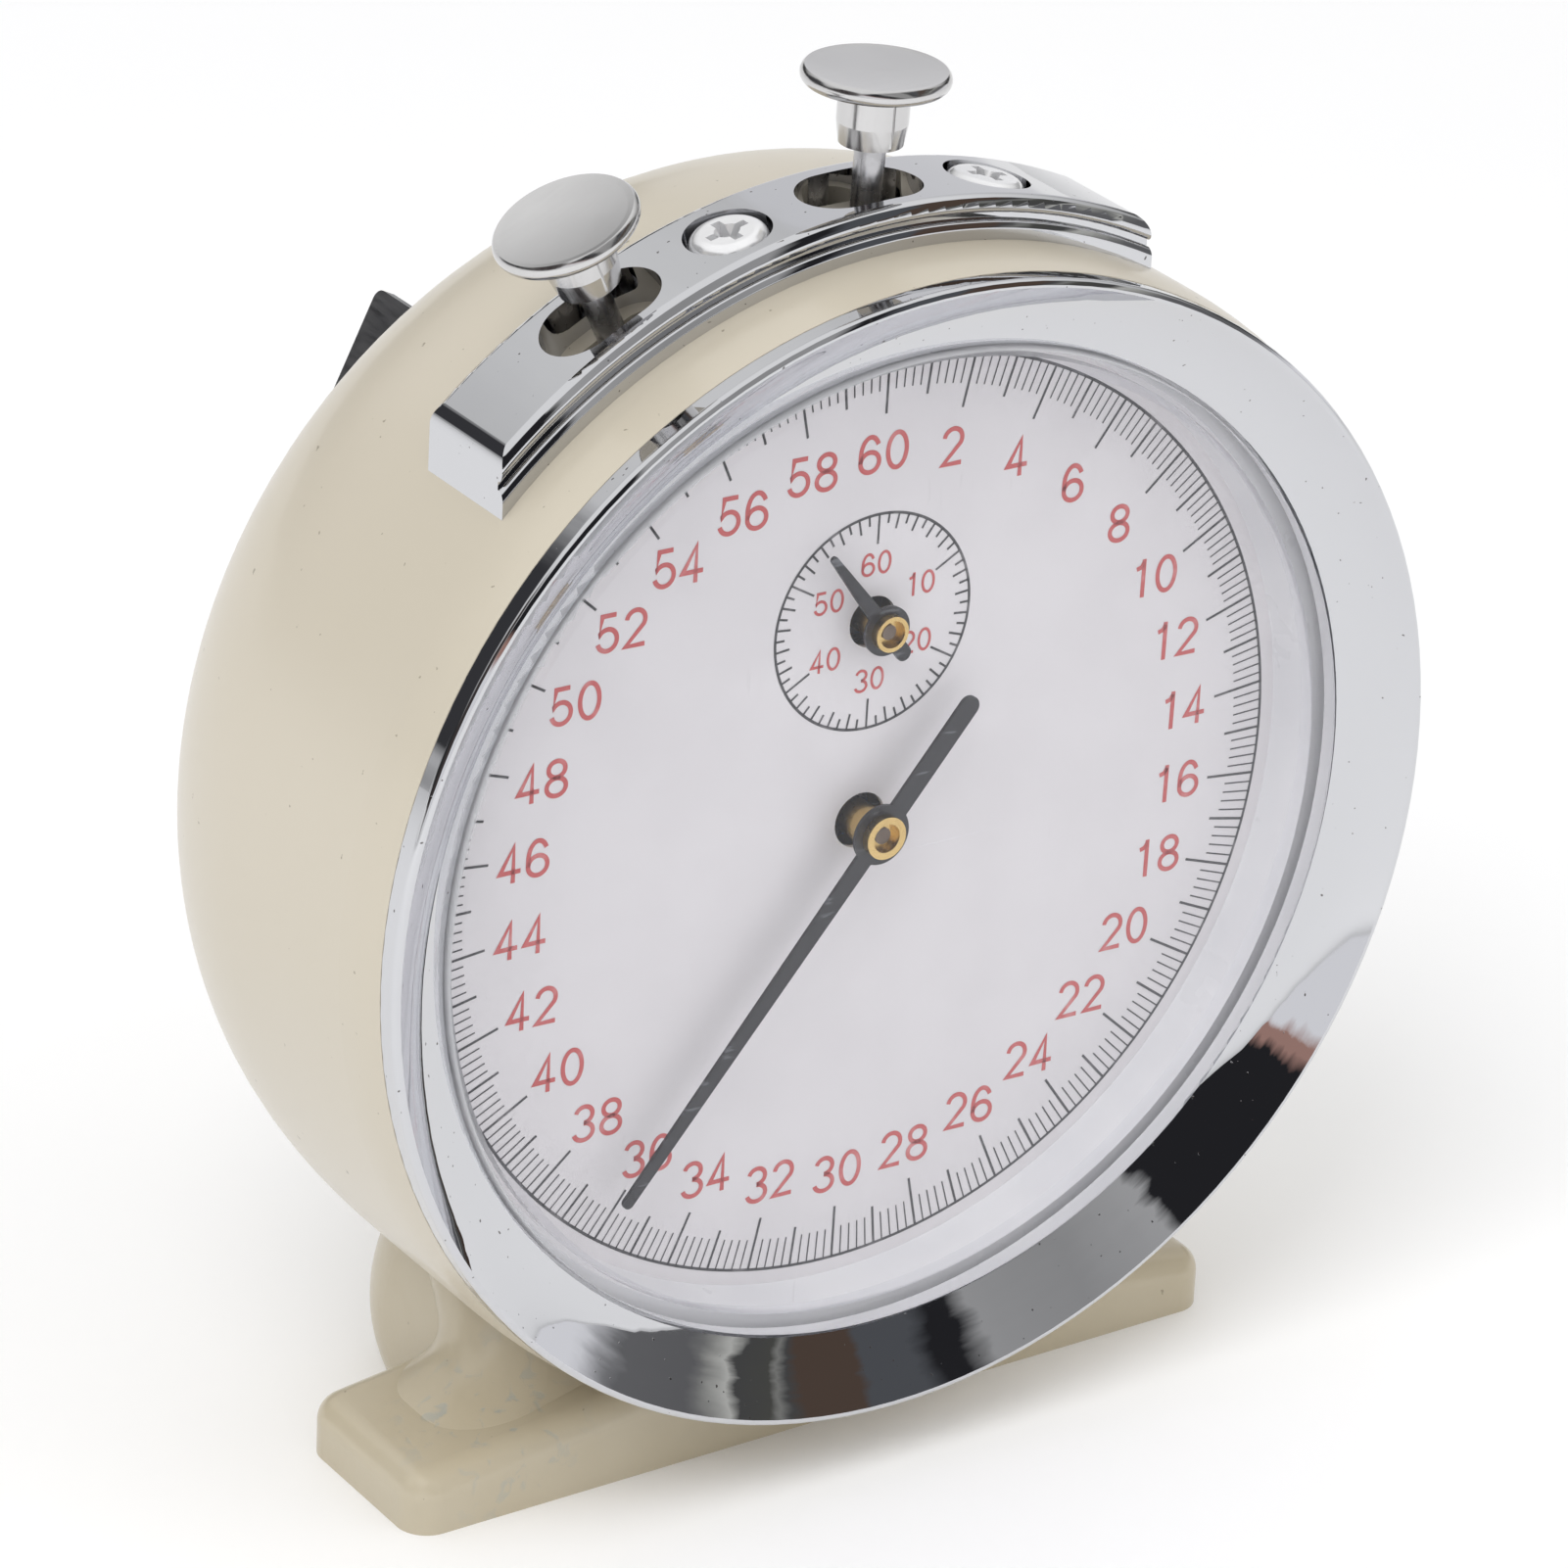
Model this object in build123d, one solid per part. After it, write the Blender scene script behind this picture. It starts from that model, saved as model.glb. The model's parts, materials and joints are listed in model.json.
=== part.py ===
from build123d import *
import math
import os

# A table-top mechanical stop clock: a drum-shaped housing on a cast foot, a 60 second dial
# with a 60 minute counter, two push buttons through a guard on top and a winding key behind.
#
# Row frame: the origin is on the table, straight below the dial's centre and in the plane
# of the dial's printed face. +X is the reader's right, +Y runs back into the housing, +Z is up.
#
# Dial frame: nearly every piece is drawn on the dial's axis, with x to the right, y up and
# z towards the reader, and z = 0 on the printed face. A "clock angle" is in degrees
# clockwise from 12 o'clock. Lengths are millimetres.

# ------------------------------------------------------------------ driving dimensions
DIAL_AXIS_HEIGHT = 68.6     # dial centre above the table
DRUM_TURN = 0.8             # the drum sits turned this many degrees clockwise on its foot
HOUSING_RADIUS = 62.5
HOUSING_WALL = 2.0
HOUSING_FRONT = 10.0        # the bezel seats here
FRONT_ROLL = 6.5            # this far behind its front, the drum starts to curve in to the bezel
BEZEL_RIM = 61.7            # outer radius of the bezel
DOME_START = -14.2          # the straight side ends and the rounded back begins
HOUSING_BACK = -46.7
BACK_FLAT_RADIUS = 29.0
DOME_POWER = 2.8            # superellipse power of the rounded back

GUARD_TOP = 66.9            # outer radius of the chrome guard over the buttons
GUARD_FRONT = 3.0
GUARD_REAR = -10.6
GUARD_LEFT = -45.8          # the guard's ends are cut upright at these x
GUARD_RIGHT = 28.8
GUARD_CORNER = 3.0          # radius of the guard's top corners at each end
GUARD_MIDDLE = -3.9         # z of the slots and screw recesses
SLOT_ANGLES = (-28.1, -1.9)
SLOT_SIZE = (13.4, 8.8)     # length along the rim, and width
STEM_OPENING = (11.0, 4.6)  # the opening below each slot, narrower than the stems' stop collars
GUARD_SCREW_ANGLES = (-15.0, 11.2)
GUARD_SCREW_DEPTH = 2.3     # the screw heads sit this far down in the guard

BUTTON_DEPTH = -3.7         # z of the button stems
START_ANGLE = -28.0         # clock angle of the start and stop button
RESET_ANGLE = -1.2          # clock angle of the reset button
BUTTON_LEAN = 2.4           # each button leans this far clockwise, about the guard's top
CAP_TOP = {START_ANGLE: 77.8, RESET_ANGLE: 78.9}    # distance from the dial's axis
CAP_RADIUS = 7.4
CAP_HEIGHT = 1.6
STEM_RADIUS = 1.55
STEM_GAP = 0.4              # the start stem ends this far above its lever at rest

FOOT_ASIDE = -1.5           # the foot's middle stands this far left of the dial's centre
FOOT_FRONT = -1.3           # y of the front and rear faces of the foot's bar
FOOT_BAR_REAR = 20.8
PEDESTAL_FRONT = 7.0
PEDESTAL_REAR = 38.3
FOOT_HALF_LENGTH = 49.6
FOOT_END_HEIGHT = 6.2
FOOT_WALL = 3.0

KEY_SHOULDER = -48.0        # z where the key's hub meets the winding arbor's shoulder
KEY_END = -75.0
KEY_TILT = 26.0             # clock angle of the key's wings at rest
KEY_HALF_SPAN = 18.0

SECONDS_READING = 218.9     # clock angle of the seconds hand at rest
MINUTES_READING = -37.5     # clock angle of the minute hand at rest

FRONT_PLATE = (-9.4, -8.0)  # rear and front faces of the movement's plates
BACK_PLATE = (-27.4, -26.0)
PLATE_RADIUS = 49.0

RUNNING = 0.04              # radial clearance of a turning or sliding fit
LEVER_LEVEL = (-4.3, -3.1)  # the button levers and heart cams work in this layer

# Wheel train: teeth and modules. The minute wheel turns once an hour and drives the
# seconds arbor 60 times as fast; the escape wheel turns ten times for each seconds turn.
BARREL_TEETH, MINUTE_LEAVES, BARREL_MODULE = 72, 12, 0.50
MINUTE_TEETH, THIRD_LEAVES, MINUTE_MODULE = 64, 8, 0.45
THIRD_TEETH, SECONDS_LEAVES, THIRD_MODULE = 60, 8, 0.45
SECONDS_TEETH, ESCAPE_LEAVES, SECONDS_MODULE = 80, 8, 0.32
ESCAPE_TEETH = 15
ESCAPE_RADIUS = 5.5
RATCHET_TEETH = 24
RATCHET_RADIUS = 8.0


def polar(radius, clock_angle):
    """A point at a radius and a clock angle in the dial frame."""
    angle = math.radians(clock_angle)
    return (radius * math.sin(angle), radius * math.cos(angle))


def mesh_distance(teeth, leaves, module):
    return module * (teeth + leaves) / 2


# ------------------------------------------------------------------ arbor positions
SECONDS_AT = (0.0, 0.0)
MINUTES_AT = (0.0, 21.8)    # centre of the minute counter

# The third arbor stands right of both, one mesh distance from each.
TO_MINUTES = mesh_distance(MINUTE_TEETH, THIRD_LEAVES, MINUTE_MODULE)
TO_SECONDS = mesh_distance(THIRD_TEETH, SECONDS_LEAVES, THIRD_MODULE)
THIRD_Y = (TO_SECONDS**2 - TO_MINUTES**2 + MINUTES_AT[1] ** 2) / (2 * MINUTES_AT[1])
THIRD_AT = (math.sqrt(TO_SECONDS**2 - THIRD_Y**2), THIRD_Y)

# The barrel stands left of the minute arbor, and the key behind it.
BARREL_BEARING = 255.1      # clock angle of the line from minute arbor to barrel
TO_BARREL = mesh_distance(BARREL_TEETH, MINUTE_LEAVES, BARREL_MODULE)
BARREL_AT = (
    MINUTES_AT[0] + polar(TO_BARREL, BARREL_BEARING)[0],
    MINUTES_AT[1] + polar(TO_BARREL, BARREL_BEARING)[1],
)

# Escape wheel, pallet arbor and balance stand in one line below left of the centre.
LEVER_LINE = 215.0
PALLET_SPREAD = 30.0        # each pallet pin stands this far round the escape wheel
ESCAPE_REACH = mesh_distance(SECONDS_TEETH, ESCAPE_LEAVES, SECONDS_MODULE)
PALLET_REACH = ESCAPE_REACH + ESCAPE_RADIUS / math.cos(math.radians(PALLET_SPREAD))
BALANCE_REACH = PALLET_REACH + 11.5
ESCAPE_AT = polar(ESCAPE_REACH, LEVER_LINE)
PALLET_AT = polar(PALLET_REACH, LEVER_LINE)
BALANCE_AT = polar(BALANCE_REACH, LEVER_LINE)
BALANCE_RADIUS = 9.5

START_LEVER_AT = (-40.0, 0.0)
RESET_HAMMER_AT = (30.0, 8.0)
STEM_END = {START_ANGLE: 40.0, RESET_ANGLE: 34.0}   # inner end of each stem
PILLARS_AT = [polar(44.0, angle) for angle in (20, 100, 170, 255)]
DIAL_POSTS_AT = [polar(45.0, angle) for angle in (75, 150, 215)]
CASE_POSTS_AT = [polar(24.0, angle) for angle in (20, 130, 240)]
FOOT_SCREWS_Z = (-6.5, -18.5)                       # depth of the two foot screws
BRAKE_X = BALANCE_AT[0] - BALANCE_RADIUS - 0.55     # the brake blade stands just off the rim
BRAKE_ROOT = (BRAKE_X - 1.2, BALANCE_AT[1])
BRAKE_OPENING_AT = (BRAKE_X - 1.7, BALANCE_AT[1])
CLICK_AT = (BARREL_AT[0] + 8.0, BARREL_AT[1] - 9.0)
SPRING_FOOT_AT = (CLICK_AT[0] + 7.0, CLICK_AT[1] - 1.0)

# Layers of the movement, as rear and front z.
ESCAPE_LEVEL = (-18.6, -18.0)
FORK_LEVEL = (-16.8, -16.0)
BALANCE_LEVEL = (-21.6, -20.2)
RATCHET_LEVEL = (-29.2, -27.8)

# The pallet lever is drawn with +y from its arbor towards the escape wheel.
PIN_REACH = ESCAPE_RADIUS * math.tan(math.radians(PALLET_SPREAD))
PIN_POINTS = [polar(PIN_REACH, side * (90 - PALLET_SPREAD)) for side in (-1, 1)]

DRUM_RADIUS = 16.9          # the mainspring barrel
DRUM_WALL = 0.9
CORE_RADIUS = 4.0
EAR_AT = 46.0               # the plate's ears stand this far from the dial's axis
EAR_THICKNESS = 1.6
COLLAR = (58.4, 59.9)       # the stop collar on each stem, as distances from the axis

DIAL_RIGHT = (math.cos(math.radians(DRUM_TURN)), 0, -math.sin(math.radians(DRUM_TURN)))
DIAL_FRAME = Plane(origin=(0, 0, DIAL_AXIS_HEIGHT), x_dir=DIAL_RIGHT, z_dir=(0, -1, 0))


# ------------------------------------------------------------------ drawing helpers
def disc(radius, low, high, at=(0, 0)):
    """A round bar along the dial's axis from z = low to z = high."""
    bar = Cylinder(radius, high - low, align=(Align.CENTER, Align.CENTER, Align.MIN))
    return Pos(at[0], at[1], low) * bar


def tube(outer, inner, low, high, at=(0, 0)):
    return disc(outer, low, high, at) - disc(inner, low, high, at)


def prism(face, low, high, at=(0, 0)):
    """A flat outline made solid from z = low to z = high."""
    return Pos(at[0], at[1], low) * extrude(face, high - low)


def outline(*points):
    return make_face(Polyline(*points, close=True))


def lathe(face):
    """A section drawn with radius as x and z as y, turned about the dial's axis."""
    return revolve(Plane.XZ * face, Axis.Z)


def upright(radius, low, high, depth=BUTTON_DEPTH):
    """A round bar on the 12 o'clock line, from one distance from the axis to another."""
    bar = Cylinder(radius, high - low, align=(Align.CENTER, Align.CENTER, Align.MIN))
    return Pos(0, low, depth) * Rot(-90, 0, 0) * bar


def clockwise(angle, shape):
    """Turn a shape drawn at 12 o'clock to a clock angle."""
    return Rot(0, 0, -angle) * shape


def at_button(angle, shape):
    """Place a shape drawn at 12 o'clock on a button's own line, which leans a little."""
    lean = Pos(0, GUARD_TOP, 0) * Rot(0, 0, -BUTTON_LEAN) * Pos(0, -GUARD_TOP, 0)
    return clockwise(angle, lean * shape)


def rim_slot(angle, size, low, high):
    """A round-ended opening through the rim, between two distances from the dial's axis."""
    opening = extrude(SlotOverall(*size), high - low)
    return clockwise(angle, Pos(0, low, GUARD_MIDDLE) * Rot(-90, 0, 0) * opening)


def button_point(angle, distance, aside=0.0):
    """A point on a button's own line, and aside of it, by its distance from the dial's axis."""
    guard_point = polar(GUARD_TOP, angle)
    along = polar(distance - GUARD_TOP, angle + BUTTON_LEAN)
    across = polar(aside, angle + BUTTON_LEAN + 90)
    return (guard_point[0] + along[0] + across[0], guard_point[1] + along[1] + across[1])


def link(start, end, width):
    """A straight bar with round ends, as a flat outline."""
    length = math.dist(start, end)
    angle = math.degrees(math.atan2(end[1] - start[1], end[0] - start[0]))
    middle = ((start[0] + end[0]) / 2, (start[1] + end[1]) / 2)
    return Pos(*middle) * Rot(0, 0, angle) * SlotCenterToCenter(length, width)


def holes(points, radius, low, high):
    return [disc(radius, low, high, at) for at in points]


# ------------------------------------------------------------------ wheels and springs
def bearing_from(start, end):
    """Direction of a line of centres, in degrees anticlockwise from +x."""
    return math.degrees(math.atan2(end[1] - start[1], end[0] - start[0]))


def toothed_face(teeth, module, tip, root, share, first_tooth):
    """A wheel's outline. tip and root are in modules, share is the tooth's part of a pitch,
    and first_tooth is the direction in degrees of the middle of one tooth."""
    pitch_radius = teeth * module / 2
    half = math.pi / teeth * share
    profile = (
        (pitch_radius - root * module, -1.05 * half),
        (pitch_radius, -half),
        (pitch_radius + tip * module, -0.4 * half),
        (pitch_radius + tip * module, 0.4 * half),
        (pitch_radius, half),
        (pitch_radius - root * module, 1.05 * half),
    )
    points = []
    for tooth in range(teeth):
        middle = math.radians(first_tooth) + tooth * 2 * math.pi / teeth
        for radius, offset in profile:
            angle = middle + offset
            points.append((radius * math.cos(angle), radius * math.sin(angle)))
    return outline(*points)


def wheel_face(teeth, module, driven_direction):
    """A brass wheel whose tooth points along driven_direction."""
    return toothed_face(teeth, module, 0.85, 1.3, 0.42, driven_direction)


def pinion_face(leaves, module, driver_direction):
    """A steel pinion whose gap faces driver_direction."""
    return toothed_face(leaves, module, 0.70, 1.25, 0.34, driver_direction + 180 / leaves)


def crossed(wheel, hub, rim, spokes, low, high):
    """Cut a wheel's middle out, from hub radius to rim radius, but for straight spokes."""
    window = tube(rim, hub, low, high)
    for index in range(spokes):
        spoke = Box(rim, 1.4, high - low, align=(Align.MIN, Align.CENTER, Align.MIN))
        window -= Rot(0, 0, index * 360 / spokes) * Pos(0, 0, low) * spoke
    return wheel - window


def spiral_face(inner, outer, turns, thickness):
    """A flat spiral strip."""
    steps = 20 * turns
    outside, inside = [], []
    for step in range(steps + 1):
        angle = 2 * math.pi * turns * step / steps
        radius = inner + (outer - inner) * step / steps
        direction = (math.cos(angle), math.sin(angle))
        outside.append(tuple((radius + thickness / 2) * part for part in direction))
        inside.append(tuple((radius - thickness / 2) * part for part in direction))
    return outline(*outside, *reversed(inside))


def arbor(at, *steps):
    """A turned steel arbor: steps are (radius, low, high)."""
    return Part() + [disc(radius, low, high, at) for radius, low, high in steps]


# ------------------------------------------------------------------ case
def drum_face(inset):
    """Half section of the housing's outside, or of its hollow when inset is the wall."""
    side = HOUSING_RADIUS - inset
    back = HOUSING_BACK + inset
    steps = 10
    curve = []
    for step in range(steps + 1):
        angle = math.pi / 2 * step / steps
        radius = BACK_FLAT_RADIUS + (side - BACK_FLAT_RADIUS) * math.cos(angle) ** (2 / DOME_POWER)
        depth = DOME_START + (back - DOME_START) * math.sin(angle) ** (2 / DOME_POWER)
        curve.append((radius, depth))
    edges = [
        Line((0, HOUSING_FRONT), (side, HOUSING_FRONT)),
        Line((side, HOUSING_FRONT), (side, DOME_START)),
        Spline(*curve, tangents=[(0, -1), (-1, 0)]),
        Line((BACK_FLAT_RADIUS, back), (0, back)),
        Line((0, back), (0, HOUSING_FRONT)),
    ]
    return make_face(edges)


def front_roll():
    """The ring cut off the drum's front edge, where the drum curves in to the bezel's rim."""
    start, end = HOUSING_FRONT - FRONT_ROLL, HOUSING_FRONT + 1
    low, high = BEZEL_RIM + 0.05, HOUSING_RADIUS + 1
    middle = (HOUSING_RADIUS - (HOUSING_RADIUS - low) / 4, HOUSING_FRONT - FRONT_ROLL / 2)
    edges = [
        ThreePointArc((HOUSING_RADIUS, start), middle, (low, HOUSING_FRONT)),
        Line((low, HOUSING_FRONT), (low, end)),
        Line((low, end), (high, end)),
        Line((high, end), (high, start)),
        Line((high, start), (HOUSING_RADIUS, start)),
    ]
    return lathe(make_face(edges))


def housing():
    """The painted drum: one deep cup, open at the front."""
    cup = lathe(drum_face(0)) - lathe(drum_face(HOUSING_WALL)) - front_roll()
    for angle in SLOT_ANGLES:
        cup -= rim_slot(angle, STEM_OPENING, 55, 65)
    for angle in GUARD_SCREW_ANGLES:
        cup -= clockwise(angle, upright(2.0, 55, 65, GUARD_MIDDLE))
    for depth in FOOT_SCREWS_Z:
        cup -= clockwise(180 - DRUM_TURN, upright(2.0, 55, 65, depth))
    cup -= holes(CASE_POSTS_AT, 1.5, HOUSING_BACK - 1, HOUSING_BACK + 4)
    cup -= disc(4.0, HOUSING_BACK - 1, HOUSING_BACK + 4, BARREL_AT)
    return cup


def bezel():
    """The chromed ring: a dished face, a short outer rim and a spigot inside the drum."""
    lip, throat, spigot = BEZEL_RIM, 53.7, HOUSING_RADIUS - HOUSING_WALL
    edges = [
        Line((spigot, 3.0), (spigot, HOUSING_FRONT)),
        Line((spigot, HOUSING_FRONT), (lip, HOUSING_FRONT)),
        Line((lip, HOUSING_FRONT), (lip, 11.7)),
        ThreePointArc((lip, 11.7), (lip - 0.2, 12.3), (lip - 0.8, 12.5)),
        ThreePointArc((lip - 0.8, 12.5), (57.6, 10.05), (throat, 8.2)),
        Line((throat, 8.2), (throat, 6.7)),
        Line((throat, 6.7), (55.6, 6.7)),
        Line((55.6, 6.7), (59.2, 8.8)),
        Line((59.2, 8.8), (59.2, 3.0)),
        Line((59.2, 3.0), (spigot, 3.0)),
    ]
    return lathe(make_face(edges))


def crystal():
    """The clear front: a slightly crowned window with a flange trapped behind the bezel."""
    edges = [
        Spline((0, 7.9), (51.0, 7.4), tangents=[(1, 0), (1, -0.02)]),
        Line((51.0, 7.4), (51.8, 6.6)),
        Line((51.8, 6.6), (51.8, 4.7)),
        Line((51.8, 4.7), (55.4, 4.7)),
        Line((55.4, 4.7), (55.4, 6.5)),
        Line((55.4, 6.5), (53.4, 6.5)),
        Line((53.4, 6.5), (53.3, 8.2)),
        ThreePointArc((53.3, 8.2), (52.9, 9.0), (51.9, 9.3)),
        Spline((51.9, 9.3), (0, 9.9), tangents=[(-1, 0.023), (-1, 0)]),
        Line((0, 9.9), (0, 7.9)),
    ]
    return lathe(make_face(edges))


def dial_surround():
    """The light ring between the dial and the crystal."""
    return lathe(outline((51.7, 0.0), (58.6, 0.0), (58.6, 3.0), (56.0, 4.6), (52.4, 4.6)))


def dial_plate():
    plate = disc(58.4, -0.6, 0.0)
    plate -= disc(3.0, -0.6, 0.0, SECONDS_AT)
    plate -= disc(2.75, -0.6, 0.0, MINUTES_AT)
    return plate


def dial_posts():
    """Three posts that stand the dial off the movement."""
    posts = [disc(1.6, FRONT_PLATE[1], -0.6, at) for at in DIAL_POSTS_AT]
    pegs = [disc(1.0, FRONT_PLATE[0], FRONT_PLATE[1], at) for at in DIAL_POSTS_AT]
    return Part() + posts + pegs


# ------------------------------------------------------------------ guard and buttons
def guard_section():
    """Section across the guard: a ridge, a recessed panel and a rounded top band."""
    low = HOUSING_RADIUS
    edges = [
        Line((low, GUARD_REAR), (low, GUARD_FRONT)),
        Line((low, GUARD_FRONT), (low + 1.1, GUARD_FRONT)),
        ThreePointArc((low + 1.1, GUARD_FRONT), (low + 1.7, GUARD_FRONT - 0.3), (low + 1.9, 2.0)),
        Line((low + 1.9, 2.0), (GUARD_TOP - 1.9, 2.0)),
        ThreePointArc((GUARD_TOP - 1.9, 2.0), (GUARD_TOP - 1.7, 2.5), (GUARD_TOP - 1.2, 2.7)),
        ThreePointArc((GUARD_TOP - 1.2, 2.7), (GUARD_TOP - 0.3, 2.3), (GUARD_TOP, 1.4)),
        Line((GUARD_TOP, 1.4), (GUARD_TOP, GUARD_REAR + 1.0)),
        ThreePointArc(
            (GUARD_TOP, GUARD_REAR + 1.0),
            (GUARD_TOP - 0.3, GUARD_REAR + 0.3),
            (GUARD_TOP - 1.0, GUARD_REAR),
        ),
        Line((GUARD_TOP - 1.0, GUARD_REAR), (low, GUARD_REAR)),
    ]
    return make_face(edges)


def button_guard():
    """The chromed strip on top of the housing, with two stem slots and two screw recesses."""
    window = Pos(GUARD_LEFT, 24) * Rectangle(GUARD_RIGHT - GUARD_LEFT, 60, align=(Align.MIN, Align.MIN))
    window &= Circle(GUARD_TOP)
    window = fillet(window.vertices().group_by(Axis.Y)[-1], GUARD_CORNER)
    window = fillet(window.vertices().sort_by(Axis.X)[:2].sort_by(Axis.Y)[-1:], GUARD_CORNER)
    guard = lathe(guard_section()) & prism(window, GUARD_REAR - 1, GUARD_FRONT + 1)
    for angle in SLOT_ANGLES:
        guard -= rim_slot(angle, SLOT_SIZE, 60, 72)
    for angle in GUARD_SCREW_ANGLES:
        guard -= clockwise(angle, upright(4.45, GUARD_TOP - GUARD_SCREW_DEPTH, 70, GUARD_MIDDLE))
        guard -= clockwise(angle, upright(2.0, 60, 70, GUARD_MIDDLE))
    return guard


def cross_recess(depth):
    """A Phillips recess cut down from z = 0."""
    bar = Box(4.4, 1.0, depth, align=(Align.CENTER, Align.CENTER, Align.MAX))
    taper = Cone(0.3, 1.3, depth, align=(Align.CENTER, Align.CENTER, Align.MAX))
    return bar + Rot(0, 0, 90) * bar + taper


def pan_screw(head_radius, head_height, shank_radius, length):
    """A pan-head screw: its head stands on z = 0 and its shank runs down."""
    head = disc(head_radius, 0, head_height)
    head = fillet(head.edges().group_by(Axis.Z)[-1], head_height * 0.55)
    shank = disc(shank_radius, -length, 0)
    return head + shank - Pos(0, 0, head_height) * cross_recess(head_height * 0.7)


def guard_screws():
    seat = GUARD_TOP - GUARD_SCREW_DEPTH
    screws = Part()
    for angle in GUARD_SCREW_ANGLES:
        screw = Pos(0, seat, GUARD_MIDDLE) * Rot(-90, 0, 0) * pan_screw(4.0, 2.4, 2.0, 7.0)
        screws += clockwise(angle, screw)
    return screws


def button_cap(angle):
    """A dished cap on a short tapered collar with a fine slit down one side."""
    top = CAP_TOP[angle]
    rim, underside = CAP_RADIUS - 0.4, top - CAP_HEIGHT
    collar_end = underside - 6.0
    section = make_face(
        [
            Line((STEM_RADIUS, collar_end), (3.2, collar_end)),
            Line((3.2, collar_end), (3.55, collar_end + 2.2)),
            Line((3.55, collar_end + 2.2), (3.55, underside)),
            Line((3.55, underside), (rim, underside)),
            ThreePointArc((rim, underside), (CAP_RADIUS, underside + 0.9), (rim, top)),
            Line((rim, top), (rim - 0.6, top - 0.1)),
            Spline((rim - 0.6, top - 0.1), (0, top - 0.5), tangents=[(-1, -0.12), (-1, 0)]),
            Line((0, top - 0.5), (0, underside)),
            Line((0, underside), (STEM_RADIUS, underside)),
            Line((STEM_RADIUS, underside), (STEM_RADIUS, collar_end)),
        ]
    )
    slit = Box(0.3, 0.5, 5.4, align=(Align.CENTER, Align.MAX, Align.MIN))
    cap = lathe(section) - Pos(0, -3.25, collar_end) * slit
    return at_button(angle, Pos(0, 0, BUTTON_DEPTH) * Rot(-90, 0, 0) * cap)


def button_stem(angle):
    """A steel rod with a round inner end and a stop collar inside the housing."""
    end = STEM_END[angle]
    rod = upright(STEM_RADIUS, end + STEM_RADIUS, CAP_TOP[angle] - CAP_HEIGHT)
    tip = Pos(0, end + STEM_RADIUS, BUTTON_DEPTH) * Sphere(STEM_RADIUS)
    return at_button(angle, rod + tip + upright(2.6, *COLLAR))


def button_spring(angle):
    """A coil around the stem, between the plate's ear and the stem's collar."""
    low, high, wire = EAR_AT + EAR_THICKNESS, COLLAR[0], 0.25
    height = high - low - 2 * wire - 0.1
    path = Helix(pitch=height / 6, height=height, radius=2.3)
    coil = sweep(Plane(origin=path @ 0, z_dir=path % 0) * Circle(wire), path=path)
    return at_button(angle, Pos(0, low + wire + 0.05, BUTTON_DEPTH) * Rot(-90, 0, 0) * coil)


# ------------------------------------------------------------------ hands
def hand(length, tail, hub_radius, hole_radius, widths, low, thickness, at, reading):
    """A flat hand: widths are at the hub, at the tip and at the rounded tail."""
    at_hub, at_tip, at_tail = widths
    blade = outline((-at_hub / 2, 0), (-at_tip / 2, length), (at_tip / 2, length), (at_hub / 2, 0))
    face = blade + Pos(0, length) * Circle(at_tip / 2) + Circle(hub_radius)
    face += link((0, 0), (0, -tail + at_tail / 2), at_tail)
    face -= Circle(hole_radius)
    return prism(Rot(0, 0, -reading) * face, low, low + thickness, at)


def seconds_hand():
    return hand(44.7, 16.7, 3.25, 2.0, (2.1, 1.3, 2.3), 3.6, 0.4, SECONDS_AT, SECONDS_READING)


def minute_hand():
    return hand(11.2, 4.4, 2.65, 1.6, (1.9, 0.8, 1.7), 2.3, 0.35, MINUTES_AT, MINUTES_READING)


def hand_collet(at, hand_level, top, radius, bore):
    """A brass tube: a shoulder ring in front of the hand, and a sleeve back to the heart cam."""
    collet = disc(radius + 0.3, hand_level[1], top, at)
    collet += disc(radius, LEVER_LEVEL[0] - 0.2, hand_level[1], at)
    collet -= disc(bore, LEVER_LEVEL[0] - 0.2, top, at)
    return collet - disc(bore + 0.65, top - 0.9, top, at)


def seconds_hand_collet():
    return hand_collet(SECONDS_AT, (3.6, 4.0), 4.9, 2.0, 0.9)


def minute_hand_collet():
    return hand_collet(MINUTES_AT, (2.3, 2.65), 3.6, 1.6, 0.8)


def heart_cam(at, tall, low_radius, bore, reading):
    """A reset cam whose radius grows evenly from the dip to the peak, the same both ways."""
    steps = 16
    points = []
    for step in range(2 * steps):
        share = abs(step - steps) / steps
        radius = tall + (low_radius - tall) * (1 - share)
        angle = math.pi * step / steps
        points.append((radius * math.cos(angle), radius * math.sin(angle)))
    face = outline(*points) - Circle(bore)
    return prism(Rot(0, 0, -reading) * face, *LEVER_LEVEL, at)


def seconds_heart_cam():
    return heart_cam(SECONDS_AT, 4.2, 2.6, 2.0, SECONDS_READING)


def minute_heart_cam():
    return heart_cam(MINUTES_AT, 3.4, 2.2, 1.6, MINUTES_READING)


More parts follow.
